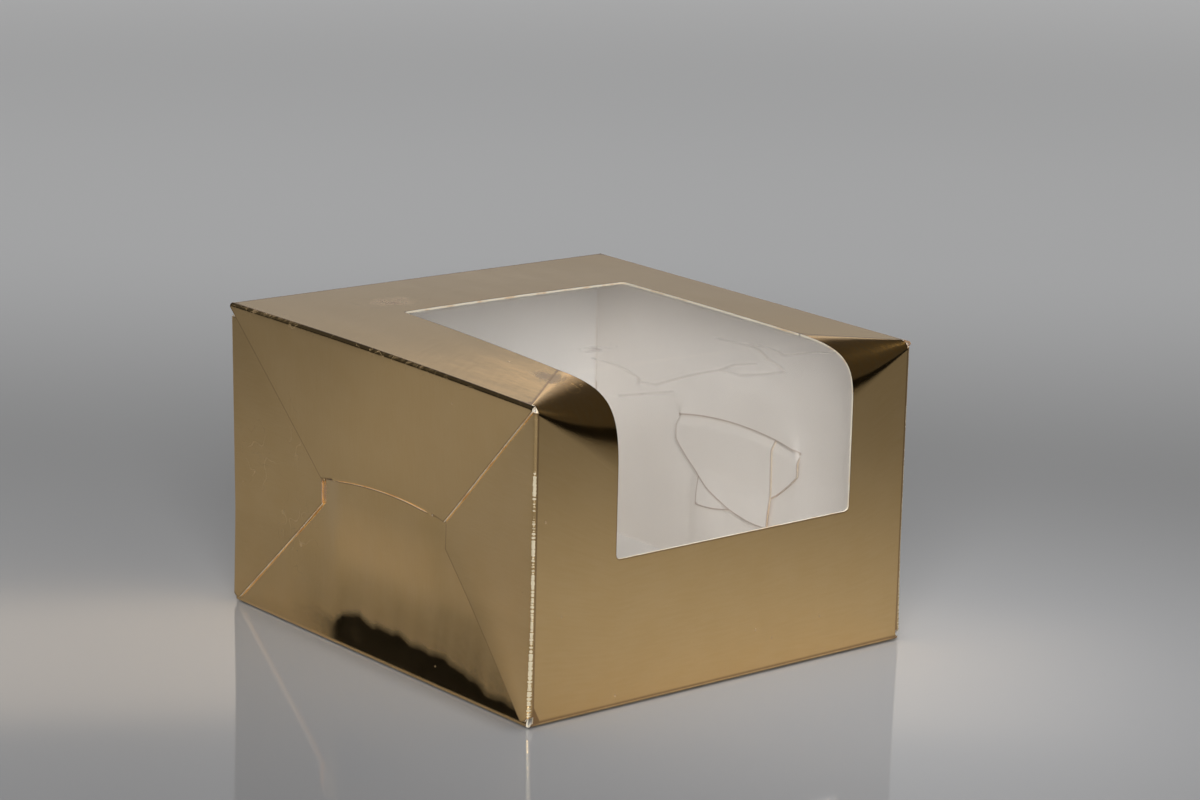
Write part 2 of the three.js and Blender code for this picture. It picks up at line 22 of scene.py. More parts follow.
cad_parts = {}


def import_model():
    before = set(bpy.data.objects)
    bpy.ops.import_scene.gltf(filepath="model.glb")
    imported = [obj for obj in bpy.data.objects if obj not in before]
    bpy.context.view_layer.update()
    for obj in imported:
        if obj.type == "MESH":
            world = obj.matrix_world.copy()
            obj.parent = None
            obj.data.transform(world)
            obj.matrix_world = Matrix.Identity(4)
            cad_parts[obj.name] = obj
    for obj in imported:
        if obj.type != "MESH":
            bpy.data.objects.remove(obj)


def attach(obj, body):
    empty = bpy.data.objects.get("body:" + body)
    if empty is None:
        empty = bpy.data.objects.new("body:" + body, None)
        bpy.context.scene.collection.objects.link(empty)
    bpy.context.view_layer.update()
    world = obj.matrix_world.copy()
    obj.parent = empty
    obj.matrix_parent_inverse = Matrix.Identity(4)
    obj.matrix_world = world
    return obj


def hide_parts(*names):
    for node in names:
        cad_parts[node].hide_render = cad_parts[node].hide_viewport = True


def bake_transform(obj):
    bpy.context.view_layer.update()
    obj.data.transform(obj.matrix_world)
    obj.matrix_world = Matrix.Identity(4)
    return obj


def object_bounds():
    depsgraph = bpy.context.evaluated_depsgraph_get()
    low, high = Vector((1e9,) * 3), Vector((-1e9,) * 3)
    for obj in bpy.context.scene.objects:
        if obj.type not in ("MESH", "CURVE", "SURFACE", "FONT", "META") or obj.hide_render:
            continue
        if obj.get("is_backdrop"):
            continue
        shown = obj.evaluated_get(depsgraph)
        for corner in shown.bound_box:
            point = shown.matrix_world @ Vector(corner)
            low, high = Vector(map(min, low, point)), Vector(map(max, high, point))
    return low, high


MM = 0.001
BLANK_UV_MM = 100.0
HALF_TURN = 180.0
SHORTEST = 1e-9  # a length below this counts as nothing
GUARD = 1e-12  # keeps a division away from zero
LINE_DIGITS = 5  # mesh lines that agree to this many digits are one line
log = logging.getLogger("carton")

Xyz = tuple[float, float, float]
Rgb = tuple[float, float, float]
Colour = Rgb | bpy.types.NodeSocket
Place = Callable[[np.ndarray, np.ndarray], np.ndarray]
Marker = Callable[[np.ndarray], np.ndarray]


class Face(IntEnum):
    """Which side of the board a face belongs to, as its material index."""

    FOIL = 0
    INSIDE = 1
    CUT = 2


class End(Enum):
    """The two ends of the carton, with the sign of their X."""

    LEFT = -1
    RIGHT = 1

    @property
    def prefix(self) -> str:
        """The word that starts the names of this end's pieces."""
        return self.name.lower()


class Edge(Enum):
    """The wall that a side flap is creased to, with the sign of its Y."""

    BACK = 1
    FRONT = -1

    @property
    def word(self) -> str:
        """The word used in piece names."""
        return self.name.lower()


def smooth(x: np.ndarray | float) -> np.ndarray:
    """A smooth step from 0 to 1 as x goes from 0 to 1."""
    t = np.clip(x, 0.0, 1.0)
    return t * t * (3.0 - 2.0 * t)


@dataclass(frozen=True)
class Settling:
    """How far the board has settled out of square, in millimetres."""

    out_low: float = 0.7  # how far the left end's back corner leans out at the floor
    out_high: float = 1.8
    lift: float = 1.0  # how much the top back left corner stands raised
    crease_bow: float = 0.5  # how much the top's left crease bows up at its middle
    crown: float = 0.7  # how much the middle of the top bulges up
    crown_power: int = 8  # how strongly the bulge keeps to the top; more leaves the walls straight

    def move(self, points: np.ndarray, carton: "Carton") -> np.ndarray:
        """Moves points of the square carton to where they have settled.

        Args:
            points: Array of x, y, z in millimetres.
            carton: The carton's sizes.

        Returns:
            The moved points.
        """
        across = np.clip(points[:, 0] / carton.width + 0.5, 0, 1)
        back = np.clip(points[:, 1] / carton.depth + 0.5, 0, 1)
        up = np.clip(points[:, 2] / carton.height, 0, 1)
        left = 1 - across
        moved = points.copy()
        moved[:, 0] -= (self.out_low + (self.out_high - self.out_low) * up) * back * left
        moved[:, 2] += up**2 * left * (self.lift * back + self.crease_bow * np.sin(np.pi * back))
        moved[:, 2] += self.crown * up**self.crown_power * np.sin(np.pi * across) * np.sin(np.pi * back)
        return moved


@dataclass(frozen=True)
class Rub:
    """A place where the foil is rubbed dull, with its reach along each axis, in millimetres. The same
    dulling also serves as painted shade.
    """

    place: Xyz
    reach: Xyz
    strength: float

    def at(self, points: np.ndarray) -> np.ndarray:
        """How much each point is rubbed."""
        away = (points - np.array(self.place)) / np.array(self.reach)
        return self.strength * np.exp(-(away**2).sum(axis=1))


# Rubbed places on the foil; the one at the top of the front left crease is painted shade.
RUBS_AND_SHADE = (
    Rub((-21.0, 32.5, 64.0), (7.0, 5.5, 3.0), 0.95),
    Rub((-27.5, 12.0, 64.0), (2.5, 9.0, 3.0), 0.55),
    Rub((-33.0, -36.0, 64.0), (4.5, 7.0, 3.0), 1.0),
    Rub((-47.5, 19.5, 30.5), (2.0, 0.7, 3.0), 1.3),
    Rub((-30.5, -33.0, 64.0), (2.5, 9.0, 3.0), 0.5),
    Rub((-48.0, 36.0, 64.0), (1.6, 20.0, 2.0), 0.8),
    Rub((-48.5, -12.0, 64.0), (1.0, 32.0, 2.0), 0.6),
    Rub((-49.0, 41.0, 33.0), (3.0, 7.0, 7.0), 0.6),
    Rub((-49.0, 28.0, 20.0), (3.0, 8.0, 9.0), 0.55),
    Rub((-49.0, 29.0, 41.0), (3.0, 3.0, 7.0), 0.55),
    # Painted shade: darkens the top of the front left crease, where the foil mirrors the dark room.
    Rub((-49.3, -51.0, 60.0), (1.0, 0.8, 6.0), 1.2),
)


@dataclass(frozen=True)
class Roll:
    """The profile of the top front edge at one place along the carton."""

    top_reach: float
    front_reach: float
    sharpness: float


@dataclass(frozen=True)
class Carton:
    """Overall sizes of the carton and of its board, in millimetres."""

    width: float  # along X, over the two ends
    depth: float  # along Y, over the front and back walls
    height: float
    board: float = 0.4
    glue: float = 0.1
    crease: float = 0.8  # radius of a crease at its outer face
    ply: float = 0.44  # step from one ply of a closed end to the next
    settling: Settling = field(default_factory=Settling)

    @classmethod
    def from_frame(cls, low: Vector, high: Vector) -> "Carton":
        """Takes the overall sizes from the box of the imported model."""
        size = (high - low) / MM
        return cls(size.x, size.y, size.z)

    @property
    def half_width(self) -> float:
        """From the middle to the outer face of an end."""
        return self.width / 2

    @property
    def half_depth(self) -> float:
        """From the middle to the outer face of the front or back wall."""
        return self.depth / 2

    @property
    def lined(self) -> float:
        """From an outer face to a piece that is glued behind its board."""
        return self.board + self.glue

    @property
    def crease_arc(self) -> float:
        """Length of the board's outer face round one crease."""
        return self.crease * np.pi / 2

    def wall_half(self, ply: int) -> float:
        """Where a sleeve panel ends and the crease to a flap in the given ply starts."""
        return self.half_width - ply * self.ply - self.crease


@dataclass(frozen=True)
class Window:
    """The cut-out that runs from the top round to the front, in millimetres."""

    margin_left: float = 21.0  # board left between the cut-out and the left end, on the front
    margin_right: float = 16.0
    margin_back: float = 28.0
    taper: float = 3.0  # how much narrower the left margin makes the cut-out on the top
    sill: float = 30.5
    corner: float = 1.2
    roll_corner: Roll = Roll(1.0, 1.0, 0.55)  # profile of the rolled edge at the carton's two ends
    roll_left: Roll = Roll(19.0, 16.0, 0.83)
    roll_right: Roll = Roll(17.0, 10.5, 0.79)


@dataclass(frozen=True)
class Slit:
    """The curved slit of one inner flap: s is measured from the back wall, z from the table."""

    start: float
    end: float
    start_height: float
    end_height: float
    rise: float  # how far its middle rises above its ends
    mouth_ramp: float = 1.2  # over what length the tips are squeezed in at either end
    lip_ramp: float = 8.0  # over what length the lips open at either end
    lip_reach: float = 22.0  # how far below the slit the lower lip stands out
    neck: float = 7.0  # how far above the slit the tips hold the upper lip back
    relax: float = 6.0  # over what length the upper lip comes back to its ply
    threaded: float = 2.6  # plies that the lower lip stands out, for the pieces behind it

    def height(self, s: np.ndarray) -> np.ndarray:
        """Height of the slit.

        Args:
            s: Distance from the back wall.

        Returns:
            The height above the table. Beyond the slit's ends it goes on level.
        """
        middle = (self.start + self.end) / 2
        half = (self.end - self.start) / 2
        share = np.clip((s - self.start) / (self.end - self.start), 0, 1)
        off = np.clip(np.abs(s - middle) / half, 0, 1)
        return self.start_height + (self.end_height - self.start_height) * share + self.rise * (1 - off**2)

    def within(self, s: np.ndarray, ramp: float) -> np.ndarray:
        """Rises from 0 at either end of the slit to 1 over the given ramp."""
        return smooth((s - self.start) / ramp) * smooth((self.end - s) / ramp)


@dataclass(frozen=True)
class Sink:
    """How far an end is drawn in at its slit, in millimetres."""

    at_start: float
    at_end: float
    sharpness: float = 6.0  # how sharply the four slopes of the dent meet
    least_share: float = 1e-3  # the least share, which keeps the creases from dividing by zero

    def depth(self, s: np.ndarray, z: np.ndarray, slit: Slit, carton: Carton) -> np.ndarray:
        """How deep the end lies: nothing at its four creases and most along the slit.

        Args:
            s: Distance from the back wall.
            z: Height above the table.
            slit: The end's slit.
            carton: The carton's sizes.

        Returns:
            The depth in millimetres.
        """
        line = slit.height(s)
        parts = np.stack([
            z / line,
            (carton.height - z) / (carton.height - line),
            s / slit.start,
            (carton.depth - s) / (carton.depth - slit.end),
        ])
        kept = np.clip(parts, self.least_share, None)
        share = (kept**-self.sharpness).sum(axis=0) ** (-1 / self.sharpness)
        return share * self.at_slit(s, slit)

    def at_slit(self, s: np.ndarray, slit: Slit) -> np.ndarray:
        """How deep the end lies along the slit."""
        along = smooth((s - slit.start) / (slit.end - slit.start))
        return self.at_start + (self.at_end - self.at_start) * along


@dataclass(frozen=True)
class Foot:
    """How an inner flap leaves its crease: steeply up to a knee, then less so until it lies flat.

    Its profile changes along the end, so slope, knee, spread and settle are given as pairs: a distance from
    the back wall in millimetres, and the value there.
    """

    slope: tuple[tuple[float, float], ...] = (
        (0, 0.10), (20, 0.12), (30, 0.17), (34.5, 0.2), (37.5, 0.285), (102, 0.285),
    )
    knee: tuple[tuple[float, float], ...] = (
        (0, 2.0), (20, 3.0), (30, 4.6), (34, 4.6), (36, 3.6), (38.5, 6.2), (42, 7.0), (48, 6.1),
        (57, 6.5), (62, 5.6), (73, 5.7), (78, 4.6), (84, 4.0), (87, 2.6), (94, 2.6), (102, 2.2),
    )
    spread: tuple[tuple[float, float], ...] = (  # how much deeper the flap still goes above the knee
        (0, 0.2), (18, 0.3), (28, 0.7), (36, 0.6), (50, 0.4), (70, 0.4), (84, 0.8), (102, 0.8),
    )
    settle: tuple[tuple[float, float], ...] = (  # over what height above the knee it does so
        (0, 14.0), (36, 14.0), (50, 11.0), (70, 11.0), (84, 17.0), (102, 17.0),
    )
    # The knee's unevenness, as waves of height, rate per millimetre and phase.
    waves: tuple[tuple[float, float, float], ...] = ((0.2, 0.9, 0.0), (0.12, 1.9, 1.0))
    rounding: float = 0.6  # half the height over which the knee bends
    hold: float = 15.0  # height up to which the depth is held, before it goes over to the ply's

    def rise(self, s: np.ndarray, up: np.ndarray, lean: np.ndarray, flat: float) -> np.ndarray:
        """How much deeper the flap lies than at its crease.

        Args:
            s: Distance from the back wall.
            up: Height above the crease.
            lean: Slope that the whole end already has there.
            flat: The rise that the flap ends with.

        Returns:
            The rise in millimetres.
        """
        knee = np.interp(s, *zip(*self.knee))
        for height, rate, phase in self.waves:
            knee = knee + height * np.sin(s * rate + phase)
        steep = np.interp(s, *zip(*self.slope)) - lean
        near = np.clip(self.rounding - np.abs(up - knee), 0, None)
        climbed = steep * (np.minimum(up, knee) - near**2 / (4 * self.rounding))
        spread = np.interp(s, *zip(*self.spread))
        left = 1 - np.clip((up - knee) / np.interp(s, *zip(*self.settle)), 0, 1)
        deepest = steep * knee + spread
        return climbed + spread * (1 - left**2) - (deepest - flat) * smooth((up - self.hold) / self.hold)


@dataclass
class FlatCut:
    """A piece cut flat from the board."""

    outline: np.ndarray  # its outline, as points of u and v in millimetres
    lines_u: np.ndarray  # values of u that the mesh has lines at
    lines_v: np.ndarray  # values of v that the mesh has lines at
    holes: list[np.ndarray] = field(default_factory=list)
    least: float = 0.05  # least distance between two points of an outline
    clear: float = 0.12  # least distance of an inner point from an outline
    weld: float = 1e-7  # distance below which the mesher takes two points as one

    def _split(self, loop: np.ndarray) -> np.ndarray:
        """Adds a point wherever a loop crosses a mesh line.

        Args:
            loop: The loop's corners.

        Returns:
            The corners with the crossings between them.
        """
        points = []
        for a, b in zip(loop, np.roll(loop, -1, axis=0)):
            step = b - a
            length = float(np.hypot(*step))
            if length < SHORTEST:
                continue
            shares = [0.0]
            for axis, lines in ((0, self.lines_u), (1, self.lines_v)):
                if abs(step[axis]) > SHORTEST:
                    t = (lines - a[axis]) / step[axis]
                    shares.extend(t[(t > 0) & (t < 1)])
            last = -1.0
            for t in sorted(shares):
                if (t - last) * length >= self.least and (1 - t) * length >= self.least * (t > 0):
                    points.append(a + t * step)
                    last = t
        return np.array(points)

    @staticmethod
    def _inside(points: np.ndarray, loop: np.ndarray) -> np.ndarray:
        """Which points lie inside a closed loop.

        Args:
            points: The points to test.
            loop: The loop's corners.

        Returns:
            True for each point that a ray leaves through an odd number of sides.
        """
        x, y = points[:, 0][:, None], points[:, 1][:, None]
        a, b = loop, np.roll(loop, -1, axis=0)
        crosses = (a[:, 1] > y) != (b[:, 1] > y)
        rise = np.where(b[:, 1] == a[:, 1], GUARD, b[:, 1] - a[:, 1])
        at = a[:, 0] + (y - a[:, 1]) * (b[:, 0] - a[:, 0]) / rise
        return (crosses & (x < at)).sum(axis=1) % 2 == 1

    def mesh(self) -> tuple[np.ndarray, np.ndarray, np.ndarray]:
        """Meshes the flat piece.

        Returns:
            Its points, its triangles, and each point's distance from the nearest cut edge.
        """
        loops = [self._split(np.asarray(loop, float)) for loop in [self.outline, *self.holes]]
        border = np.vstack(loops)
        grid_u, grid_v = np.meshgrid(self.lines_u, self.lines_v, indexing="ij")
        grid = np.column_stack([grid_u.ravel(), grid_v.ravel()])
        kept = self._inside(grid, loops[0])
        for hole in loops[1:]:
            kept &= ~self._inside(grid, hole)
        grid = grid[kept]
        grid = grid[self._distance(grid, loops) > self.clear]
        edges, first = [], 0
        for loop in loops:
            count = len(loop)
            edges.extend((first + i, first + (i + 1) % count) for i in range(count))
            first += count
        given = [Vector(p) for p in np.vstack([border, grid])]
        made = delaunay_2d_cdt(given, edges, [], 0, self.weld)
        points = np.array([tuple(p) for p in made[0]])
        triangles = np.array(made[2])
        middles = points[triangles].mean(axis=1)
        good = self._inside(middles, loops[0])
        for hole in loops[1:]:
            good &= ~self._inside(middles, hole)
        return points, triangles[good], self._distance(points, loops)

    @staticmethod
    def _distance(points: np.ndarray, loops: list[np.ndarray]) -> np.ndarray:
        """Distance of each point from the nearest loop.

        Args:
            points: The points to measure from.
            loops: The loops' corners.

        Returns:
            The distances in millimetres.
        """
        best = np.full(len(points), np.inf)
        for loop in loops:
            for a, b in zip(loop, np.roll(loop, -1, axis=0)):
                along = b - a
                t = np.clip(((points - a) @ along) / max(float(along @ along), GUARD), 0, 1)
                best = np.minimum(best, np.hypot(*(points - a - t[:, None] * along).T))
        return best


def write_layers(mesh: bpy.types.Mesh, flat: np.ndarray, **attributes: np.ndarray) -> None:
    """Writes the blank's UV map and the values that the finishes read.

    Args:
        mesh: The mesh.
        flat: Each point's place on the flat blank, u along the grain.
        **attributes: A value for each point, by the attribute's name.
    """
    layer = mesh.uv_layers.new(name="blank")
    corner = np.zeros(len(mesh.loops), np.int32)
    mesh.loops.foreach_get("vertex_index", corner)
    layer.data.foreach_set("uv", (flat / BLANK_UV_MM)[corner].astype(np.float32).ravel())
    for name, values in attributes.items():
        attribute = mesh.attributes.new(name, "FLOAT", "POINT")
        attribute.data.foreach_set("value", values.astype(np.float32))


@dataclass(frozen=True)
class Finishes:
    """The three materials of the board, in the order of Face, and the film's."""

    foil: bpy.types.Material
    inside: bpy.types.Material
    cut: bpy.types.Material
    film: bpy.types.Material


@dataclass
class Card:
    """One piece of board, folded from a flat cut."""

    name: str
    cut: FlatCut
    place: Place  # folded place of the outer face, from u and v
    outward: Xyz  # roughly where the foil faces
    carton: Carton
    grain_turned: bool = False
    warmth_and_edge_shade: float = 0.0  # how warm its inside is, and how much painted shade darkens its tip and lip cut edges
    # Which flat points are of a tip or a lip, whose edges get painted shade.
    tip: Marker = lambda flat: np.zeros(len(flat), bool)
    bent: Marker = lambda flat: np.zeros(len(flat))  # how far each flat point is strained
    difference: float = 0.004  # step over which its slopes are taken

    def _normals(self, flat: np.ndarray) -> np.ndarray:
        """Unit normals of the folded outer face.

        Args:
            flat: The flat points.

        Returns:
            One normal for each point, on the side of the foil.
        """
        d = self.difference
        along_u = self.place(flat[:, 0] + d, flat[:, 1]) - self.place(flat[:, 0] - d, flat[:, 1])
        along_v = self.place(flat[:, 0], flat[:, 1] + d) - self.place(flat[:, 0], flat[:, 1] - d)
        normals = np.cross(along_u, along_v)
        normals /= np.linalg.norm(normals, axis=1)[:, None]
        if float(normals.mean(axis=0) @ np.array(self.outward)) < 0:
            normals = -normals
        return normals

    @staticmethod
    def _faces(triangles: np.ndarray, count: int) -> list[tuple[int, ...]]:
        """Closes two layers of triangles into one sheet.

        Args:
            triangles: The outer layer's triangles.
            count: How many points a layer has. The inner layer's points follow the outer layer's.

        Returns:
            The outer triangles, the inner ones, and the quads of the cut edges between them.
        """
        directed = np.vstack([triangles[:, [0, 1]], triangles[:, [1, 2]], triangles[:, [2, 0]]])
        seen = {(int(a), int(b)) for a, b in directed}
        border = [(a, b) for a, b in seen if (b, a) not in seen]
        faces = [tuple(map(int, t)) for t in triangles]
        faces += [(int(c) + count, int(b) + count, int(a) + count) for a, b, c in triangles]
        faces += [(b, a, a + count, b + count) for a, b in sorted(border)]
        return faces

    def build(self, finishes: Finishes, crease: Marker | None = None) -> bpy.types.Object:
        """Folds the cut and gives it its thickness and its three finishes.

        Args:
            finishes: The board's materials.
            crease: Gives 1 on a crease and 0 away from it, for the flat points.

        Returns:
            The new object.
        """
        flat, triangles, rim = self.cut.mesh()
        outer = self.place(flat[:, 0], flat[:, 1])
        normals = self._normals(flat)
        corners = outer[triangles]
        across = np.cross(corners[:, 1] - corners[:, 0], corners[:, 2] - corners[:, 0])
        facing = np.einsum("ij,ij->i", across, normals[triangles[:, 0]])
        triangles[facing < 0] = triangles[facing < 0][:, ::-1]
        inner = outer - normals * self.carton.board
        settled = self.carton.settling.move(np.vstack([outer, inner]), self.carton) * MM
        faces = self._faces(triangles, len(flat))
        mesh = bpy.data.meshes.new(self.name)
        mesh.from_pydata([tuple(p) for p in settled], [], faces)
        for material in (finishes.foil, finishes.inside, finishes.cut):
            mesh.materials.append(material)
        sides = np.full(len(faces), int(Face.CUT), np.int32)
        sides[: len(triangles)] = Face.FOIL
        sides[len(triangles): 2 * len(triangles)] = Face.INSIDE
        mesh.polygons.foreach_set("material_index", sides)
        mesh.polygons.foreach_set("use_smooth", np.ones(len(faces), bool))
        # The warmth and the tip mask also set how much painted shade darkens the cut edges and inside rims
        # of tips and lips.
        marks = {
            "rim": rim,
            "fold": np.zeros(len(flat)) if crease is None else crease(flat),
            "rub": np.max([mark.at(outer) for mark in RUBS_AND_SHADE], axis=0),
            "warm": np.full(len(flat), self.warmth_and_edge_shade),
            "edge_shade_mask": np.where(self.tip(flat), 1.0, 0.0),
            "bent": self.bent(flat),
        }
        blank = flat[:, ::-1] if self.grain_turned else flat
        doubled = {name: np.tile(part, 2) for name, part in marks.items()}
        write_layers(mesh, np.tile(blank, (2, 1)), **doubled)
        self._sharpen(mesh)
        made = bpy.data.objects.new(self.name, mesh)
        bpy.context.scene.collection.objects.link(made)
        log.info("%s: %d faces", self.name, len(faces))
        return made

    @staticmethod
    def _sharpen(mesh: bpy.types.Mesh) -> None:
        """Keeps the edges between two finishes sharp.

        Args:
            mesh: The sheet's mesh.
        """
        work = bmesh.new()
        work.from_mesh(mesh)
        for edge in work.edges:
            if len({f.material_index for f in edge.link_faces}) > 1:
                edge.smooth = False
        work.to_mesh(mesh)
        work.free()


def lines(*stretches: tuple[float, float, float]) -> np.ndarray:
    """Mesh lines over stretches.

    Args:
        *stretches: Start, end and greatest step of each stretch.

    Returns:
        The lines' places in rising order.
    """
    found: list[float] = []
    for start, end, step in stretches:
        count = max(1, math.ceil(abs(end - start) / step))
        found.extend(np.linspace(start, end, count + 1))
    return np.unique(np.round(found, LINE_DIGITS))


def bezier(a: Sequence[float], control: Sequence[float], b: Sequence[float], count: int) -> np.ndarray:
    """Points of a quadratic curve.

    Args:
        a: Its start.
        control: The point that it bends towards.
        b: Its end.
        count: How many points it gets.

    Returns:
        The points, the two ends among them.
    """
    t = np.linspace(0, 1, count)[:, None]
    first, middle, last = (np.array(p, float) for p in (a, control, b))
    return (1 - t) ** 2 * first + 2 * (1 - t) * t * middle + t**2 * last


@dataclass
class Wrap:
    """The sheet that goes up the front wall, over the rolled edge and back along the top.

    Its second coordinate q runs from 0 to 1 up the front wall, to 2 over the roll and to 3 at the back.
    """

    carton: Carton
    window: Window
    q_scale: float = 30.0  # millimetres that the flat cut gives to one unit of q
    strain_in: float = 0.3  # share of the roll over which the foil's strain comes in, at the front
    strain_out: float = 0.2

    def roll(self, x: np.ndarray) -> tuple[np.ndarray, np.ndarray, np.ndarray]:
        """Profile of the rolled edge.

        Args:
            x: Place along the carton.

        Returns:
            Its reach along the top, its reach down the front and its sharpness.
        """
        w, c = self.window, self.carton
        half = c.half_width
        stations = [-half, -half + w.margin_left, half - w.margin_right, half]
        rolls = [w.roll_corner, w.roll_left, w.roll_right, w.roll_corner]
        return tuple(
            np.interp(x, stations, [getattr(r, name) for r in rolls])
            for name in ("top_reach", "front_reach", "sharpness")
        )

    def point(self, x: np.ndarray, v: np.ndarray) -> np.ndarray:
        """Outer face of the sheet.

        Args:
            x: Place along the carton.
            v: The second coordinate times q_scale.

        Returns:
            Points of x, y and z in millimetres.
        """
        c = self.carton
        q = v / self.q_scale
        top, front, sharp = self.roll(x)
        t = np.clip(q - 1, 0, 1)
        near, far = 3 * (1 - t) * t**2, 3 * (1 - t) ** 2 * t
        y = near * top * (1 - sharp) + t**3 * top
        drop = (1 - t) ** 3 * front + far * front * (1 - sharp)
        z = c.height - drop - np.clip(1 - q, 0, 1) * (c.height - front - c.crease)
        y = y + np.clip(q - 2, 0, 1) * (c.depth - c.crease - top)
        return np.column_stack([x, y - c.half_depth, z])

    def bent(self, flat: np.ndarray) -> np.ndarray:
        """How far each flat point is rolled over the edge, from 0 to 1."""
        q = flat[:, 1] / self.q_scale
        return smooth((q - 1) / self.strain_in) * smooth((2 - q) / self.strain_out)

    def q_of_height(self, x: np.ndarray, z: float) -> np.ndarray:
        """The second coordinate of a height on the flat of the front wall."""
        flat = self.carton.height - self.roll(x)[1] - self.carton.crease
        return (z - self.carton.crease) / flat * self.q_scale

    def q_of_setback(self, x: np.ndarray, setback: float) -> np.ndarray:
        """The second coordinate of a distance behind the front wall, on the flat of the top."""
        top = self.roll(x)[0]
        return (2 + (setback - top) / (self.carton.depth - self.carton.crease - top)) * self.q_scale


@dataclass
class Sleeve:
    """Floor, walls, top and glue tab of the carton."""

    carton: Carton
    window: Window
    finishes: Finishes
    step: float = 1.6  # greatest step of a plain panel's mesh
    fine: float = 0.12
    roll_step: float = 0.5  # greatest step round the rolled edge, in the wrap's q
    long_step: float = 3.2  # greatest step along pieces bent one way only
    tab_step: float = 3.0
    tab_reach: float = 12.0
    tab_bevel: float = 8.0
    side_points: int = 40
    corner_points: int = 8

    def __post_init__(self) -> None:
        """Works out where the cut-out's sides stand."""
        self.wrap = Wrap(self.carton, self.window)
        self.left = -self.carton.half_width + self.window.margin_left
        self.right = self.carton.half_width - self.window.margin_right

    def _ride(self, piece: bpy.types.Object, *nodes: str) -> None:
        """Hangs a piece on the sleeve.

        Args:
            piece: The piece.
            *nodes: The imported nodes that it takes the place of.
        """
        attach(piece, "sleeve")
        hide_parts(*nodes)

    def front_wall(self) -> None:
        """The front wall with the lower part of the cut-out and the rolled edge beside it."""
        half, k = self.carton.wall_half(1), self.wrap.q_scale
        sill_height, r, points = self.window.sill, self.window.corner, self.corner_points
        xs = np.linspace(self.left + r, self.right - r, self.side_points)
        sill = np.column_stack([xs, self.wrap.q_of_height(xs, sill_height)])
        low_left = float(self.wrap.q_of_height(np.array([self.left]), sill_height + r)[0])
        low_right = float(self.wrap.q_of_height(np.array([self.right]), sill_height + r)[0])
        outline = np.vstack([
            [(-half, 0), (half, 0), (half, 2 * k), (self.right, 2 * k)],
            bezier((self.right, low_right), (self.right, sill[-1, 1]), sill[-1], points),
            sill[::-1][1:-1],
            bezier(sill[0], (self.left, sill[0, 1]), (self.left, low_left), points),
            [(self.left, 2 * k), (-half, 2 * k)],
        ])
        us = lines((-half, half, self.step))
        vs = lines((0, k, self.step), (k, 2 * k, self.roll_step))
        cut = FlatCut(outline, us, vs)
        card = Card("front_wall", cut, self.wrap.point, (0, -1, 0), self.carton, bent=self.wrap.bent)
        piece = card.build(self.finishes)
        self._ride(piece, "front_panel")

    def top(self) -> None:
        """The top with the upper part of the cut-out."""
        half, k = self.carton.wall_half(0), self.wrap.q_scale
        r, back = self.window.corner, self.carton.depth - self.window.margin_back
        left, right, points = self.left + self.window.taper, self.right, self.corner_points
        xs = np.linspace(left + r, right - r, self.side_points)
        rear = np.column_stack([xs, self.wrap.q_of_setback(xs, back)])
        low_left = (left, float(self.wrap.q_of_setback(np.array([left]), back - r)[0]))
        low_right = (right, float(self.wrap.q_of_setback(np.array([right]), back - r)[0]))
        outline = np.vstack([
            [(-half, 2 * k), (self.left, 2 * k)],
            bezier(low_left, (left, rear[0, 1]), rear[0], points),
            rear[1:-1],
            bezier(rear[-1], (right, rear[-1, 1]), low_right, points),
            [(right, 2 * k), (half, 2 * k), (half, 3 * k), (-half, 3 * k)],
        ])
        us = lines((-half, half, self.step))
        vs = lines((2 * k, 3 * k, self.roll_step))
        card = Card("top_panel_board", FlatCut(outline, us, vs), self.wrap.point, (0, 0, 1), self.carton)
        piece = card.build(self.finishes)
        self._ride(piece, "top_panel")

    def _bent_wall(
        self,
        names: tuple[str, str],
        half: float,
        stretch: tuple[float, float, float],
        place: Place,
        outward: Xyz,
    ) -> None:
        """A plain panel with a bend at its end.

        Args:
            names: Name of the piece and of the node that it takes the place of.
            half: Half of its length along the carton.
            stretch: Where it starts, where its bend starts and where it ends, along the flat board.
            place: Gives the folded place of its outer face.
            outward: Roughly the way that its foil faces.
        """
        name, node = names
        start, bend, end = stretch
        outline = np.array([(-half, start), (half, start), (half, end), (-half, end)])
        across = lines((start, end, self.step), (bend, end, self.fine))
        cut = FlatCut(outline, lines((-half, half, self.long_step)), across)
        piece = Card(name, cut, place, outward, self.carton).build(self.finishes)
        self._ride(piece, node)

    def _round(self, v: np.ndarray, turn: float) -> tuple[np.ndarray, np.ndarray]:
        """Runs straight, round a quarter of the crease and straight on.

        Args:
            v: Distance along the flat board.
            turn: Where the crease starts.

        Returns:
            The distance gone along the first panel's way, and across it.
        """
        r = self.carton.crease
        angle = np.clip((v - turn) / r, 0, np.pi / 2)
        along = np.minimum(v, turn) + r * np.sin(angle)
        across = r * (1 - np.cos(angle)) + np.clip(v - turn - self.carton.crease_arc, 0, None)
        return along, across

    def floor(self) -> None:
        """The floor, with the crease that turns up into the front wall."""
        c = self.carton
        start = c.half_depth - c.lined - c.crease
        reach = c.depth - c.crease - c.lined - c.crease

        def place(x: np.ndarray, v: np.ndarray) -> np.ndarray:
            """Runs from the tab's crease to the front wall."""
            along, across = self._round(v, reach)
            return np.column_stack([x, start - along, across])

        half = c.half_width - Closure.foot_depth - Closure.foot_fold
        stretch = (0.0, reach, reach + c.crease_arc)
        self._bent_wall(("floor_board", "floor_panel"), half, stretch, place, (0, 0, -1))

    def back_wall(self) -> None:
        """The back wall, with the crease that turns into the top."""
        c = self.carton
        turn = c.height - c.crease

        def place(x: np.ndarray, v: np.ndarray) -> np.ndarray:
            """Runs up the back and over into the top."""
            along, across = self._round(v, turn)
            return np.column_stack([x, c.half_depth - across, along])

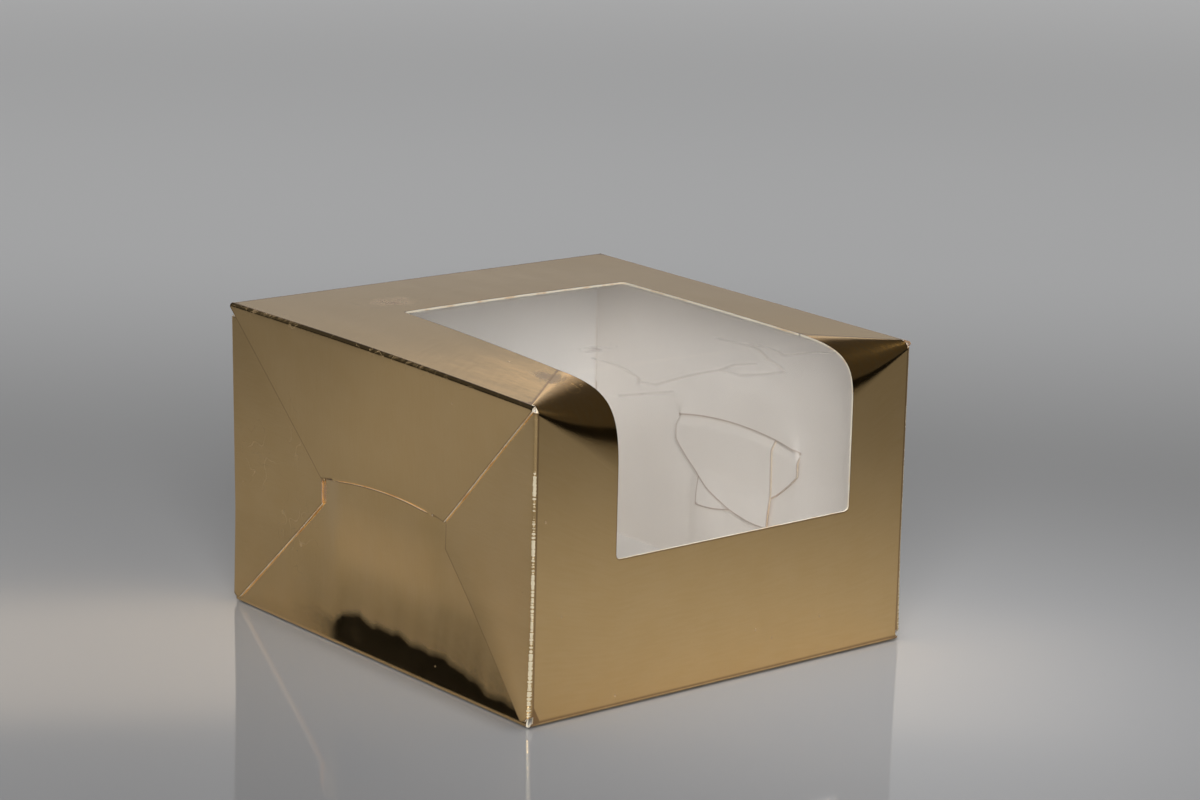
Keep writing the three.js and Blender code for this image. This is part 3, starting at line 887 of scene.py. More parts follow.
        stretch = (c.glue, turn, turn + c.crease_arc)
        self._bent_wall(("back_wall", "back_panel"), c.wall_half(1), stretch, place, (0, 1, 0))

    def tab(self) -> None:
        """The tab that turns up from the floor and is glued inside the back wall."""
        c = self.carton
        half, arc, reach, bevel = c.wall_half(2), c.crease_arc, self.tab_reach, self.tab_bevel

        def place(x: np.ndarray, v: np.ndarray) -> np.ndarray:
            """Runs round the crease and up behind the back wall."""
            along, across = self._round(v, 0.0)
            return np.column_stack([x, c.half_depth - c.lined - c.crease + along, across])

        outline = np.array([
            (-half, 0), (half, 0), (half, arc), (half - bevel, reach), (-half + bevel, reach), (-half, arc),
        ])
        us = lines((-half, half, self.tab_step))
        vs = lines((0, arc, self.fine), (arc, reach, self.step))
        piece = Card("glue_tab_board", FlatCut(outline, us, vs), place, (0, 1, 0), c).build(self.finishes)
        self._ride(piece, "glue_tab")

    def build(self) -> None:
        """Builds the sleeve's board pieces."""
        self.floor()
        self.front_wall()
        self.top()
        self.back_wall()
        self.tab()


@dataclass(frozen=True)
class Steps:
    """Greatest steps of a flap's mesh and the heights where they change, in millimetres."""

    plain: float = 1.3
    crease: float = 0.12
    foot: float = 0.4  # step up to foot_top, where the inner flap has its knee
    slit: float = 0.6  # step from slit_low up to slit_high, or to lip_high on the inner flap
    mouth: float = 0.3  # step at either end of the slit
    foot_top: float = 12.0
    slit_low: float = 24.0
    slit_high: float = 44.0
    lip_high: float = 48.0
    side_mouth: float = 4.0  # how far into a tip that step goes


@dataclass(frozen=True)
class InnerSizes:
    """Sizes of the flap from the floor, in millimetres."""

    side: float = 0.9  # clearance to the front and back walls
    top_gap: float = 0.5
    corner_across: float = 7.0  # how far its upper corners are cut off along the top
    corner_down: float = 14.0
    marked: float = 1.3  # how far from its slit the board's cut edges get painted shade
    slit_points: int = 70


@dataclass(frozen=True)
class LidSizes:
    """Sizes of the flap from the top and of its tongue, in millimetres."""

    side: float = 0.5  # clearance to the front and back walls
    tongue: float = 8.0
    inset: float = 4.0  # how much narrower than the slit the tongue is, at each side
    taper: float = 3.0  # how much more it narrows at its tip
    shoulder: float = 0.2  # clearance between the lid's shoulders and the slit's ends
    bend: float = 1.2  # over what height the tongue bends in behind the lower lip
    lowest: float = 20.0
    tongue_points: int = 40
    shoulder_points: int = 12


@dataclass(frozen=True)
class SideSizes:
    """Sizes of a side flap and its tip, in millimetres, measured from its own wall and up."""

    relief_back: float = 2.8  # how far the back flap's top stands below the carton's
    relief_front: float = 1.2
    slope: float = 2 / 3  # slope of its upper edge, down from that relief
    foot: float = 1.0
    foot_run: float = 2.4  # where its lower edge starts to rise towards the wall
    foot_rise: float = 0.9  # how far that edge rises before it reaches the crease
    foot_turn: float = 0.6  # where it reaches it, as a share of the crease
    foot_notch: float = 1.2  # height of the crease's lower end above the foot
    mouth: float = 5.3  # length of the upright cut that lets the tip into the slit
    cut_gap: float = 0.1  # clearance between that cut's upper end and the slit
    tip_edge: float = 0.12  # width of that cut
    tip_reach: float = 63.0
    tip_low: float = 14.8
    tip_bow: float = 13.0  # how far past the cut its lower edge bows out
    tip_from: float = 0.05  # how far past the cut the edges get painted shade
    neck_from: float = 2.0
    worn_at: float = 0.17  # middle of the cracked strip, across the crease
    worn_reach: float = 0.45  # how far the cracks reach on either side
    worn_top: float = 54.0
    worn_fade: float = 5.0  # height over which they fade out below worn_top
    worn_front: float = 1.0  # how much the front crease is cracked, from 0 to 1
    worn_back: float = 0.4
    hinge_height: float = 32.0  # height at which the crease's axis is given
    neck_points: int = 20
    tip_points: int = 30
    foot_points: int = 8


@dataclass
class Closure:
    """The four interlocking flaps that close one end.

    A flap is drawn by s, the distance from the back wall, by z, the height, and by its depth behind the
    end's outer face, counted in plies of board.
    """

    end: End
    slit: Slit
    sink: Sink
    carton: Carton
    finishes: Finishes
    foot_depth: float = 0.15  # depth of the inner flap at its crease, in millimetres
    foot_fold: float = 0.5  # radius of that crease
    foot: Foot = Foot()
    # How much deeper a side flap stands per millimetre of height, until it is one ply deep.
    stand: float = 0.036
    warmth_and_edge_shade: float = 0.4  # how warm the inside of the tips and of the inner flap is, and how much painted shade darkens their cut edges
    # How warm the lid's inside is, and how much painted shade darkens all of the lid's cut edges and the
    # rims of its inside.
    lid_warmth_and_edge_shade: float = 0.0
    dive: float = 2.5  # height over which a tip goes behind the inner flap
    lift: float = 8.0  # over what length the back tip goes behind the front one
    slit_gap: float = 0.12
    inner_ply: int = 2
    steps: Steps = Steps()
    inner: InnerSizes = InnerSizes()
    lid: LidSizes = LidSizes()
    side: SideSizes = SideSizes()

    def _world(self, depth: np.ndarray, s: np.ndarray, z: np.ndarray) -> np.ndarray:
        """Places points of this end in the carton's frame.

        Args:
            depth: Depth behind the end's outer face, in millimetres, before the end is drawn in.
            s: Distance from the back wall.
            z: Height above the table.

        Returns:
            Points of x, y and z in millimetres.
        """
        depth = depth + self.sink.depth(s, z, self.slit, self.carton)
        x = self.end.value * (self.carton.half_width - depth)
        return np.column_stack([x, self.carton.half_depth - s, z])

    def _inner_depth(self, s: np.ndarray, z: np.ndarray) -> np.ndarray:
        """Depth of the inner flap above its crease, apart from its lips.

        Args:
            s: Distance from the back wall.
            z: Height above the table.

        Returns:
            The depth in millimetres.
        """
        c = self.carton
        lean = self.sink.at_slit(s, self.slit) / self.slit.height(s)
        flat = self.inner_ply * c.ply - self.foot_depth
        return self.foot_depth + self.foot.rise(s, z - self.foot_fold, lean, flat)

    def _lower_lip(self, s: np.ndarray, v: np.ndarray) -> np.ndarray:
        """Ply of the inner flap below its slit, which stands proud of the lid there."""
        out = self.slit.within(s, self.slit.lip_ramp) * (1 - smooth(-v / self.slit.lip_reach))
        return self.inner_ply - self.slit.threaded * out

    def _squeeze(self, s: np.ndarray, v: np.ndarray) -> np.ndarray:
        """Plies that the tips are pushed in by near the slit's ends, where the lower lip holds them.

        Args:
            s: Distance from the back wall.
            v: Height above the slit.

        Returns:
            The plies, which fall to 0 towards the slit's middle and above the tips' necks.
        """
        slit = self.slit
        start = smooth((s - slit.start + v) / (slit.mouth_ramp + 2 * v))
        end = smooth((slit.end - s + v) / (slit.mouth_ramp + 2 * v))
        return 2 * (1 - slit.within(s, slit.lip_ramp)) * start * end * (1 - smooth(v / slit.neck))

    def _upper_lip(self, s: np.ndarray, v: np.ndarray) -> np.ndarray:
        """Ply of the inner flap above its slit, behind the two tips.

        Args:
            s: Distance from the back wall.
            v: Height above the slit.

        Returns:
            The ply.
        """
        slit = self.slit
        over = slit.within(s, slit.lip_ramp) * (1 - smooth((v - slit.neck) / slit.relax))
        return self.inner_ply + over + self._squeeze(s, np.maximum(v, 0))

    def _tip_ply(self, s: np.ndarray, v: np.ndarray, into: np.ndarray, front: bool) -> np.ndarray:
        """Ply of a tip: under the lid above the slit and behind the inner flap below it.

        Args:
            s: Distance from the back wall.
            v: Height above the slit.
            into: Distance past the end of the slit that the tip enters by.
            front: Whether it is the front tip, which lies outside the back one.

        Returns:
            The ply.
        """
        above = 1 + self._squeeze(s, np.maximum(v, 0)) + (0 if front else smooth(into / self.lift))
        flap = self._inner_depth(s, v + self.slit.height(s)) / self.carton.ply + self._lower_lip(s, v)
        behind = np.maximum(self.inner_ply + self.slit.threaded, flap) - (1 if front else 0)
        inside = smooth(-v / self.dive)
        return above * (1 - inside) + behind * inside

    def _mouth_steps(self) -> tuple[tuple[float, float, float], ...]:
        """The mesh's finer stretches at the two ends of the slit."""
        slit, ramp, step = self.slit, self.slit.mouth_ramp, self.steps.mouth
        return (slit.start, slit.start + ramp, step), (slit.end - ramp, slit.end, step)

    def inner_flap(self) -> None:
        """The flap from the floor, with the slit that the tips and the tongue pass."""
        c, slit, fold, sizes, steps = self.carton, self.slit, self.foot_fold, self.inner, self.steps

        def place(s: np.ndarray, v: np.ndarray) -> np.ndarray:
            """Runs round the crease at the floor and up the end, with its two lips at the slit.

            Args:
                s: Distance from the back wall.
                v: Distance along the flat board.

            Returns:
                Points of x, y and z in millimetres.
            """
            angle = np.clip((v - fold) / fold, -np.pi / 2, 0)
            above = v - slit.height(s)
            ply = np.where(above >= 0, self._upper_lip(s, above), self._lower_lip(s, above))
            depth = (ply - self.inner_ply) * c.ply + self._inner_depth(s, v)
            depth = np.where(v < fold, self.foot_depth + fold * (1 - np.cos(angle)), depth)
            z = np.where(v < fold, fold * (1 + np.sin(angle)), v)
            return self._world(depth, s, z)

        start, top = fold * (1 - np.pi / 2), c.height - c.board - sizes.top_gap
        near, far, corner = sizes.side, c.depth - sizes.side, top - sizes.corner_down
        outline = np.array([
            (near, start), (far, start), (far, corner), (far - sizes.corner_across, top),
            (near + sizes.corner_across, top), (near, corner),
        ])
        across = np.linspace(slit.start, slit.end, sizes.slit_points)
        heights = slit.height(across)
        hole = np.vstack([
            np.column_stack([across, heights - self.slit_gap]),
            np.column_stack([across, heights + self.slit_gap])[::-1],
        ])
        us = lines((near, far, steps.plain), *self._mouth_steps())
        vs = lines((start, fold, steps.crease), (fold, steps.foot_top, steps.foot),
                   (steps.foot_top, top, steps.plain), (steps.slit_low, steps.lip_high, steps.slit))
        name, facing = f"{self.end.prefix}_inner_flap", (self.end.value, 0, 0)
        card = Card(f"{name}_board", FlatCut(outline, us, vs, [hole]), place, facing, c,
                    grain_turned=True, warmth_and_edge_shade=self.warmth_and_edge_shade,
                    tip=lambda flat: np.abs(flat[:, 1] - slit.height(flat[:, 0])) < sizes.marked)
        piece = card.build(self.finishes)
        start_x = c.half_width - self.foot_depth
        self._join(piece, "inner", (start_x - fold, 0.0, 0.0), (start_x, 0.0, fold), name)

    def _lid_outline(self, turn: float, end: float) -> np.ndarray:
        """Outline of the lid with its shoulders and its tongue.

        Args:
            turn: Height at which its crease starts.
            end: Where its crease ends, along the flat board.

        Returns:
            Points of the distance from the back wall and of the height.
        """
        c, slit, sizes = self.carton, self.slit, self.lid
        left, right = slit.start + sizes.inset, slit.end - sizes.inset
        across = np.linspace(left, right, sizes.tongue_points)
        low = np.column_stack([across, slit.height(across) - sizes.tongue])
        low[0, 0] += sizes.taper
        low[-1, 0] -= sizes.taper
        low = low[(low[:, 0] >= low[0, 0]) & (low[:, 0] <= low[-1, 0])]
        edge_right = np.linspace(slit.end - sizes.shoulder, right, sizes.shoulder_points)
        edge_left = np.linspace(left, slit.start + sizes.shoulder, sizes.shoulder_points)
        near, far = sizes.side, c.depth - sizes.side
        return np.vstack([
            [(near, end), (near, turn)],
            np.column_stack([edge_left, slit.height(edge_left) + self.slit_gap])[::-1],
            low,
            np.column_stack([edge_right, slit.height(edge_right) + self.slit_gap])[::-1],
            [(far, turn), (far, end)],
        ])

    def lid_flap(self) -> None:
        """The flap from the top, with the tongue that tucks behind the slit."""
        c, slit, sizes, steps = self.carton, self.slit, self.lid, self.steps
        turn = c.height - c.crease

        def place(s: np.ndarray, v: np.ndarray) -> np.ndarray:
            """Runs down the end, in behind the lower lip, and round the crease at the top.

            Args:
                s: Distance from the back wall.
                v: Distance along the flat board.

            Returns:
                Points of x, y and z in millimetres.
            """
            angle = np.clip((v - turn) / c.crease, 0, np.pi / 2)
            above = v - slit.height(s)
            ply = (self._lower_lip(s, above) + 1) * smooth(-above / sizes.bend)
            depth = np.where(v > turn, c.crease * (1 - np.cos(angle)), ply * c.ply)
            z = np.where(v > turn, turn + c.crease * np.sin(angle), v)
            return self._world(depth, s, z)

        end = turn + c.crease_arc
        us = lines((sizes.side, c.depth - sizes.side, steps.plain), *self._mouth_steps())
        vs = lines((sizes.lowest, turn, steps.plain), (steps.slit_low, steps.slit_high, steps.slit),
                   (turn, end, steps.crease))
        card = Card(f"{self.end.prefix}_lid", FlatCut(self._lid_outline(turn, end), us, vs), place,
                    (self.end.value, 0, 0), c, grain_turned=True, warmth_and_edge_shade=self.lid_warmth_and_edge_shade,
                    tip=lambda flat: np.full(len(flat), self.lid_warmth_and_edge_shade > 0))
        piece = card.build(self.finishes)
        self._join(piece, "lid", (c.wall_half(0), 0.0, c.height), (c.half_width, 0.0, turn),
                   f"{self.end.prefix}_lid_flap", f"{self.end.prefix}_lid_tongue")

    def _side_outline(self, front: bool, cut_at: float) -> np.ndarray:
        """Outline of a side flap and its tip.

        Args:
            front: Whether it is the flap from the front wall.
            cut_at: Where its tip enters the slit, from its own wall.

        Returns:
            Points of the distance from its own wall and of the height.
        """
        c, slit, sizes = self.carton, self.slit, self.side
        relief = sizes.relief_front if front else sizes.relief_back
        start, top = c.crease - c.crease_arc, c.height - relief
        cut_top = slit.end_height if front else slit.start_height
        cut_end, mouth = cut_top - sizes.cut_gap, cut_top - sizes.mouth
        tip_side = cut_at + sizes.tip_edge
        neck = np.linspace(cut_at + sizes.neck_from, sizes.tip_reach, sizes.neck_points)
        neck_top = slit.height(c.depth - neck if front else neck) + slit.neck
        tip_bow = (cut_at + sizes.tip_bow, sizes.tip_low)
        foot_end = (c.crease * sizes.foot_turn, sizes.foot + sizes.foot_rise)
        return np.vstack([
            [(start, sizes.foot + sizes.foot_notch), (start, top), (relief / sizes.slope, top)],
            np.column_stack([neck, neck_top]),
            bezier((sizes.tip_reach, sizes.tip_low), tip_bow, (tip_side, mouth), sizes.tip_points),
            [(tip_side, cut_end), (cut_at, cut_end), (cut_at, mouth)],
            bezier((sizes.foot_run, sizes.foot), (c.crease, sizes.foot), foot_end, sizes.foot_points),
        ])

    def side_flap(self, edge: Edge) -> None:
        """One side flap and its tip, drawn from its own wall.

        Args:
            edge: The wall that it is creased to.
        """
        c, slit, sizes, steps = self.carton, self.slit, self.side, self.steps
        front = edge is Edge.FRONT
        cut_at = c.depth - slit.end if front else slit.start
        worn = sizes.worn_front if front else sizes.worn_back

        def place(r: np.ndarray, z: np.ndarray) -> np.ndarray:
            """Runs round the upright crease and along the end, and past the cut behind the inner flap.

            Args:
                r: Distance from its own wall, along the flat board.
                z: Height above the table.

            Returns:
                Points of x, y and z in millimetres.
            """
            angle = np.clip((r - c.crease) / c.crease, -np.pi / 2, 0)
            reach = np.where(r < c.crease, c.crease * (1 + np.sin(angle)), r)
            s = c.depth - reach if front else reach
            tip = self._tip_ply(s, z - slit.height(s), r - cut_at, front) * c.ply
            flat = np.minimum(self.foot_depth - c.ply + self.stand * z, c.ply)
            depth = np.where(r > cut_at, tip, flat)
            turned = depth + (c.ply + c.crease - depth) * (1 - np.cos(angle))
            return self._world(np.where(r < c.crease, turned, depth), s, z)

        def crease(flat: np.ndarray) -> np.ndarray:
            """How much the foil is cracked along the upright crease."""
            near = np.exp(-((flat[:, 0] - sizes.worn_at) / sizes.worn_reach) ** 2)
            return worn * near * smooth((sizes.worn_top - flat[:, 1]) / sizes.worn_fade)

        top = c.height - (sizes.relief_front if front else sizes.relief_back)
        us = lines((c.crease - c.crease_arc, c.crease, steps.crease),
                   (c.crease, sizes.tip_reach, steps.plain),
                   (cut_at, cut_at + steps.side_mouth, steps.mouth))
        vs = lines((sizes.foot, top, steps.plain), (steps.slit_low, steps.slit_high, steps.slit))
        cut = FlatCut(self._side_outline(front, cut_at), us, vs)
        card = Card(f"{self.end.prefix}_{edge.word}_flap", cut, place, (self.end.value, 0, 0), c,
                    warmth_and_edge_shade=self.warmth_and_edge_shade, tip=lambda flat: flat[:, 0] > cut_at + sizes.tip_from)
        piece = card.build(self.finishes, crease)
        wall_y, height = edge.value * c.half_depth, sizes.hinge_height
        self._join(piece, f"{edge.word}_side", (c.wall_half(1), wall_y, height),
                   (c.half_width - c.ply, wall_y - edge.value * c.crease, height),
                   f"{self.end.prefix}_{edge.word}_side_flap", f"{self.end.prefix}_{edge.word}_tip")

    def _join(self, piece: bpy.types.Object, body: str, start: Xyz, end: Xyz, *nodes: str) -> None:
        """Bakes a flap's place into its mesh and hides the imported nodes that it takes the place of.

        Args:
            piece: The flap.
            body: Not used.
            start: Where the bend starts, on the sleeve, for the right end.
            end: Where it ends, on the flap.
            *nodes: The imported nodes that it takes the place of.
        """
        first, last = (
            self.carton.settling.move(np.array([[self.end.value * p[0], p[1], p[2]]]), self.carton)[0] * MM
            for p in (start, end)
        )
        tuple(first)
        tuple(last)
        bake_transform(piece)
        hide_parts(*nodes)

    def build(self) -> None:
        """Builds the flaps, the outermost last."""
        self.inner_flap()
        self.side_flap(Edge.BACK)
        self.side_flap(Edge.FRONT)
        self.lid_flap()


class Wire:
    """A value in a node tree that adds, multiplies and so on by making Math nodes."""

    def __init__(self, tree: bpy.types.NodeTree, socket: bpy.types.NodeSocket | float) -> None:
        """Holds a socket of the tree, or a plain number."""
        self.tree = tree
        self.socket = socket

    def _math(self, operation: str, *others: "Wire | float", clamp: bool = False) -> "Wire":
        """Makes a Math node on this value.

        Args:
            operation: What it does.
            *others: Its other values.
            clamp: Whether its result is held between 0 and 1.

        Returns:
            The result.
        """
        node = self.tree.nodes.new("ShaderNodeMath")
        node.operation = operation
        node.use_clamp = clamp
        for slot, value in zip(node.inputs, (self, *others)):
            value = value.socket if isinstance(value, Wire) else value
            if isinstance(value, (int, float)):
                slot.default_value = value
            else:
                self.tree.links.new(value, slot)
        return Wire(self.tree, node.outputs[0])

    def __add__(self, other: "Wire | float") -> "Wire":
        """Sum."""
        return self._math("ADD", other)

    def __sub__(self, other: "Wire | float") -> "Wire":
        """Difference."""
        return self._math("SUBTRACT", other)

    def __mul__(self, other: "Wire | float") -> "Wire":
        """Product."""
        return self._math("MULTIPLY", other)

    def __truediv__(self, other: "Wire | float") -> "Wire":
        """Quotient."""
        return self._math("DIVIDE", other)

    def power(self, other: float) -> "Wire":
        """This value to a power."""
        return self._math("POWER", other)

    def absolute(self) -> "Wire":
        """This value without its sign."""
        return self._math("ABSOLUTE")

    def clamped(self) -> "Wire":
        """This value held between 0 and 1."""
        return self._math("ADD", 0.0, clamp=True)

    def flipped(self) -> "Wire":
        """One minus this value."""
        return Wire(self.tree, 1.0)._math("SUBTRACT", self)

    def ramp(self, low: float, high: float) -> "Wire":
        """A smooth step over this value.

        Args:
            low: Where it is 0.
            high: Where it is 1. It may lie below low.

        Returns:
            The step.
        """
        node = self.tree.nodes.new("ShaderNodeMapRange")
        node.interpolation_type = "SMOOTHSTEP"
        node.inputs["From Min"].default_value = low
        node.inputs["From Max"].default_value = high
        self.tree.links.new(self.socket, node.inputs["Value"])
        return Wire(self.tree, node.outputs["Result"])


@dataclass(frozen=True)
class Wrinkle:
    """A crease in the film, with its height and reach in millimetres.

    Its points are given by x in millimetres and by q, which runs from 0 at the sill to 3 at the back.
    """

    points: tuple[tuple[float, float], ...]
    height: float = 0.2
    reach: float = 1.1

    def share(self, flat: np.ndarray) -> np.ndarray:
        """How near points are to the crease.

        Args:
            flat: The points, as FilmSheet.flatten lays them out.

        Returns:
            1 on the crease, and 0 at its reach and beyond.
        """
        line = FilmSheet.flatten(*np.array(self.points).T)
        best = np.full(len(flat), np.inf)
        for a, b in zip(line, line[1:]):
            along = b - a
            t = np.clip(((flat - a) @ along) / float(along @ along), 0, 1)
            best = np.minimum(best, np.hypot(*(flat - a - t[:, None] * along).T))
        return 1 - smooth(best / self.reach)


WRINKLES = (
    Wrinkle(((-15.5, 2.08), (-14.8, 1.97), (-15.8, 1.74), (-17.5, 1.66)), 0.16),
    Wrinkle(((-23.8, 1.57), (-18.0, 1.54), (-11.5, 1.50)), 0.2),
    Wrinkle((
        (-16.5, 1.69), (-13.8, 1.62), (-9.5, 1.64), (-3.2, 1.66),
        (3.0, 1.66), (6.5, 1.54), (12.0, 1.50), (17.2, 1.48),
    ), 0.24),
    Wrinkle(((3.0, 1.66), (8.0, 1.70), (12.5, 1.66)), 0.16),
    Wrinkle(((20.0, 2.0), (21.0, 1.88), (21.0, 1.71), (27.8, 1.68), (33.0, 1.62)), 0.24),
    Wrinkle(((17.0, 2.1), (18.5, 1.9), (16.5, 1.7), (17.2, 1.52)), 0.2, 1.4),
)
FILM_RUBS = (
    Rub((-10.7, -21.6, 63.5), (5.0, 3.0, 3.0), 1.0),
    Rub((20.0, -36.0, 62.0), (3.0, 3.0, 3.0), 0.6),
)


@dataclass
class FilmSheet:
    """The clear film glued behind the cut-out. A node tree rolls it over the top front edge."""

    carton: Carton
    window: Window
    finishes: Finishes
    lap: float = 7.0  # how far the film goes behind the board round the cut-out
    thickness: float = 0.12
    columns: int = 140
    rows: int = 240
    wrinkle: float = 0.12
    wrinkle_scale: float = 38.0
    wrinkle_level: float = 0.6  # the noise value at which a wave has no height
    seed: float = 4.0
    # Length of film from the sill up to each whole q.
    laid_out: ClassVar[tuple[float, ...]] = (0.0, 27.0, 52.0, 115.0)

    def _inputs(self) -> dict[str, float]:
        """The sizes that the node tree takes, in metres except the sharpness, the scale and the seed.

        Returns:
            The values by the names of their sockets.
        """
        c, w = self.carton, self.window
        return {
            "Left": (-c.half_width + w.margin_left - self.lap) * MM,
            "Right": (c.half_width - w.margin_right + self.lap) * MM,
            "Top Reach Left": (w.roll_left.top_reach - c.lined) * MM,
            "Top Reach Right": (w.roll_right.top_reach - c.lined) * MM,
            "Front Reach Left": (w.roll_left.front_reach - c.lined) * MM,
            "Front Reach Right": (w.roll_right.front_reach - c.lined) * MM,
            "Sharpness": (w.roll_left.sharpness + w.roll_right.sharpness) / 2,
            "Front Face": (-c.half_depth + c.lined) * MM,
            "Top Face": (c.height - c.lined) * MM,
            "Sill": (w.sill - self.lap) * MM,
            "Back": (c.half_depth - w.margin_back + self.lap) * MM,
            "Wrinkle": self.wrinkle * MM,
            "Wrinkle Scale": self.wrinkle_scale,
            "Seed": self.seed,
        }

    def _rolled(self, tree: bpy.types.NodeTree, given: bpy.types.Node) -> bpy.types.NodeSocket:
        """Rolls a flat grid over the edge.

        Args:
            tree: The tree to add to.
            given: Its input node.

        Returns:
            The rolled grid, which carries q at each point.
        """
        nodes, links = tree.nodes, tree.links

        def value(name: str) -> Wire:
            """A named input of the tree."""
            return Wire(tree, given.outputs[name])

        grid = nodes.new("GeometryNodeMeshGrid")
        sizes = {"Size X": 1.0, "Size Y": 1.0, "Vertices X": self.columns, "Vertices Y": self.rows}
        for name, size in sizes.items():
            grid.inputs[name].default_value = size
        position = nodes.new("GeometryNodeInputPosition")
        split = nodes.new("ShaderNodeSeparateXYZ")
        links.new(position.outputs[0], split.inputs[0])
        share = Wire(tree, split.outputs[0]) + 0.5
        q = (Wire(tree, split.outputs[1]) + 0.5) * 3.0
        across = value("Left") + share * (value("Right") - value("Left"))
        reach = value("Top Reach Left") + share * (value("Top Reach Right") - value("Top Reach Left"))
        drop = value("Front Reach Left") + share * (value("Front Reach Right") - value("Front Reach Left"))
        soft = value("Sharpness").flipped()
        t = (q - 1.0).clamped()
        rest = t.flipped()
        near = rest * t.power(2.0) * 3.0
        far = rest.power(2.0) * t * 3.0
        y = value("Front Face") + near * reach * soft + t.power(3.0) * reach
        y = y + (q - 2.0).clamped() * (value("Back") - value("Front Face") - reach)
        z = value("Top Face") - rest.power(3.0) * drop - far * drop * soft
        z = z - q.clamped().flipped() * (value("Top Face") - drop - value("Sill"))
        joined = nodes.new("ShaderNodeCombineXYZ")
        for slot, wire in zip(joined.inputs, (across, y, z)):
            links.new(wire.socket, slot)
        marked = nodes.new("GeometryNodeStoreNamedAttribute")
        marked.inputs["Name"].default_value = "q"
        links.new(grid.outputs["Mesh"], marked.inputs["Geometry"])
        links.new(q.socket, marked.inputs["Value"])
        rolled = nodes.new("GeometryNodeSetPosition")
        links.new(marked.outputs[0], rolled.inputs["Geometry"])
        links.new(joined.outputs[0], rolled.inputs["Position"])
        return rolled.outputs[0]

    def _waved(
        self, tree: bpy.types.NodeTree, given: bpy.types.Node, geometry: bpy.types.NodeSocket
    ) -> bpy.types.NodeSocket:
        """Pushes the film out and in along its normals, by soft noise.

        Args:
            tree: The tree to add to.
            given: Its input node.
            geometry: The rolled film.

        Returns:
            The wavy film.
        """
        nodes, links = tree.nodes, tree.links
        noise = nodes.new("ShaderNodeTexNoise")
        noise.noise_dimensions = "4D"
        noise.inputs["Detail"].default_value = 2.0
        links.new(given.outputs["Wrinkle Scale"], noise.inputs["Scale"])
        links.new(given.outputs["Seed"], noise.inputs["W"])
        amount = (Wire(tree, noise.outputs[0]) - self.wrinkle_level) * Wire(tree, given.outputs["Wrinkle"])
        normal = nodes.new("GeometryNodeInputNormal")
        push = nodes.new("ShaderNodeVectorMath")
        push.operation = "SCALE"
        links.new(normal.outputs[0], push.inputs[0])
        links.new(amount.socket, push.inputs["Scale"])
        wavy = nodes.new("GeometryNodeSetPosition")
        links.new(geometry, wavy.inputs["Geometry"])
        links.new(push.outputs[0], wavy.inputs["Offset"])
        return wavy.outputs[0]

    def _tree(self) -> bpy.types.NodeTree:
        """Builds the tree that makes the film from its sizes.

        Returns:
            The tree, with one input for each size.
        """
        tree = bpy.data.node_groups.new("rolled_film", "GeometryNodeTree")
        tree.interface.new_socket("Geometry", in_out="INPUT", socket_type="NodeSocketGeometry")
        for name in self._inputs():
            tree.interface.new_socket(name, in_out="INPUT", socket_type="NodeSocketFloat")
        tree.interface.new_socket("Geometry", in_out="OUTPUT", socket_type="NodeSocketGeometry")
        nodes, links = tree.nodes, tree.links
        given = nodes.new("NodeGroupInput")
        out = nodes.new("NodeGroupOutput")
        shade = nodes.new("GeometryNodeSetShadeSmooth")
        links.new(self._waved(tree, given, self._rolled(tree, given)), shade.inputs[0])
        real = nodes.new("GeometryNodeRealizeInstances")
        links.new(shade.outputs[0], real.inputs[0])
        dress = nodes.new("GeometryNodeSetMaterial")
        dress.inputs["Material"].default_value = self.finishes.film
        links.new(real.outputs[0], dress.inputs["Geometry"])
        links.new(dress.outputs[0], out.inputs[0])
        return tree

    @staticmethod
    def flatten(x: np.ndarray, q: np.ndarray) -> np.ndarray:
        """Lays x and q out flat, in millimetres."""
        return np.column_stack([x, np.interp(q, range(len(FilmSheet.laid_out)), FilmSheet.laid_out)])

    @staticmethod
    def _crease(mesh: bpy.types.Mesh, points: np.ndarray) -> np.ndarray:
        """Pushes the film's points out along its wrinkles and marks them for its finish.

        Args:
            mesh: The film's mesh, which carries q at each point.
            points: Its points in millimetres.

        Returns:
            The pushed points.
        """
        q = np.zeros(len(points))
        mesh.attributes["q"].data.foreach_get("value", q)
        flat = FilmSheet.flatten(points[:, 0], q)
        shares = np.array([wrinkle.share(flat) for wrinkle in WRINKLES])
        push = (shares * np.array([w.height for w in WRINKLES])[:, None]).max(axis=0)
        tilt = np.clip(q - 1, 0, 1) * np.pi / 2
        outward = np.column_stack([np.zeros(len(q)), -np.cos(tilt), np.sin(tilt)])
        rub = np.max([mark.at(points) for mark in FILM_RUBS], axis=0)
        write_layers(mesh, flat, rub=rub, crease=shares.max(axis=0) ** 3)
        return points + outward * push[:, None]

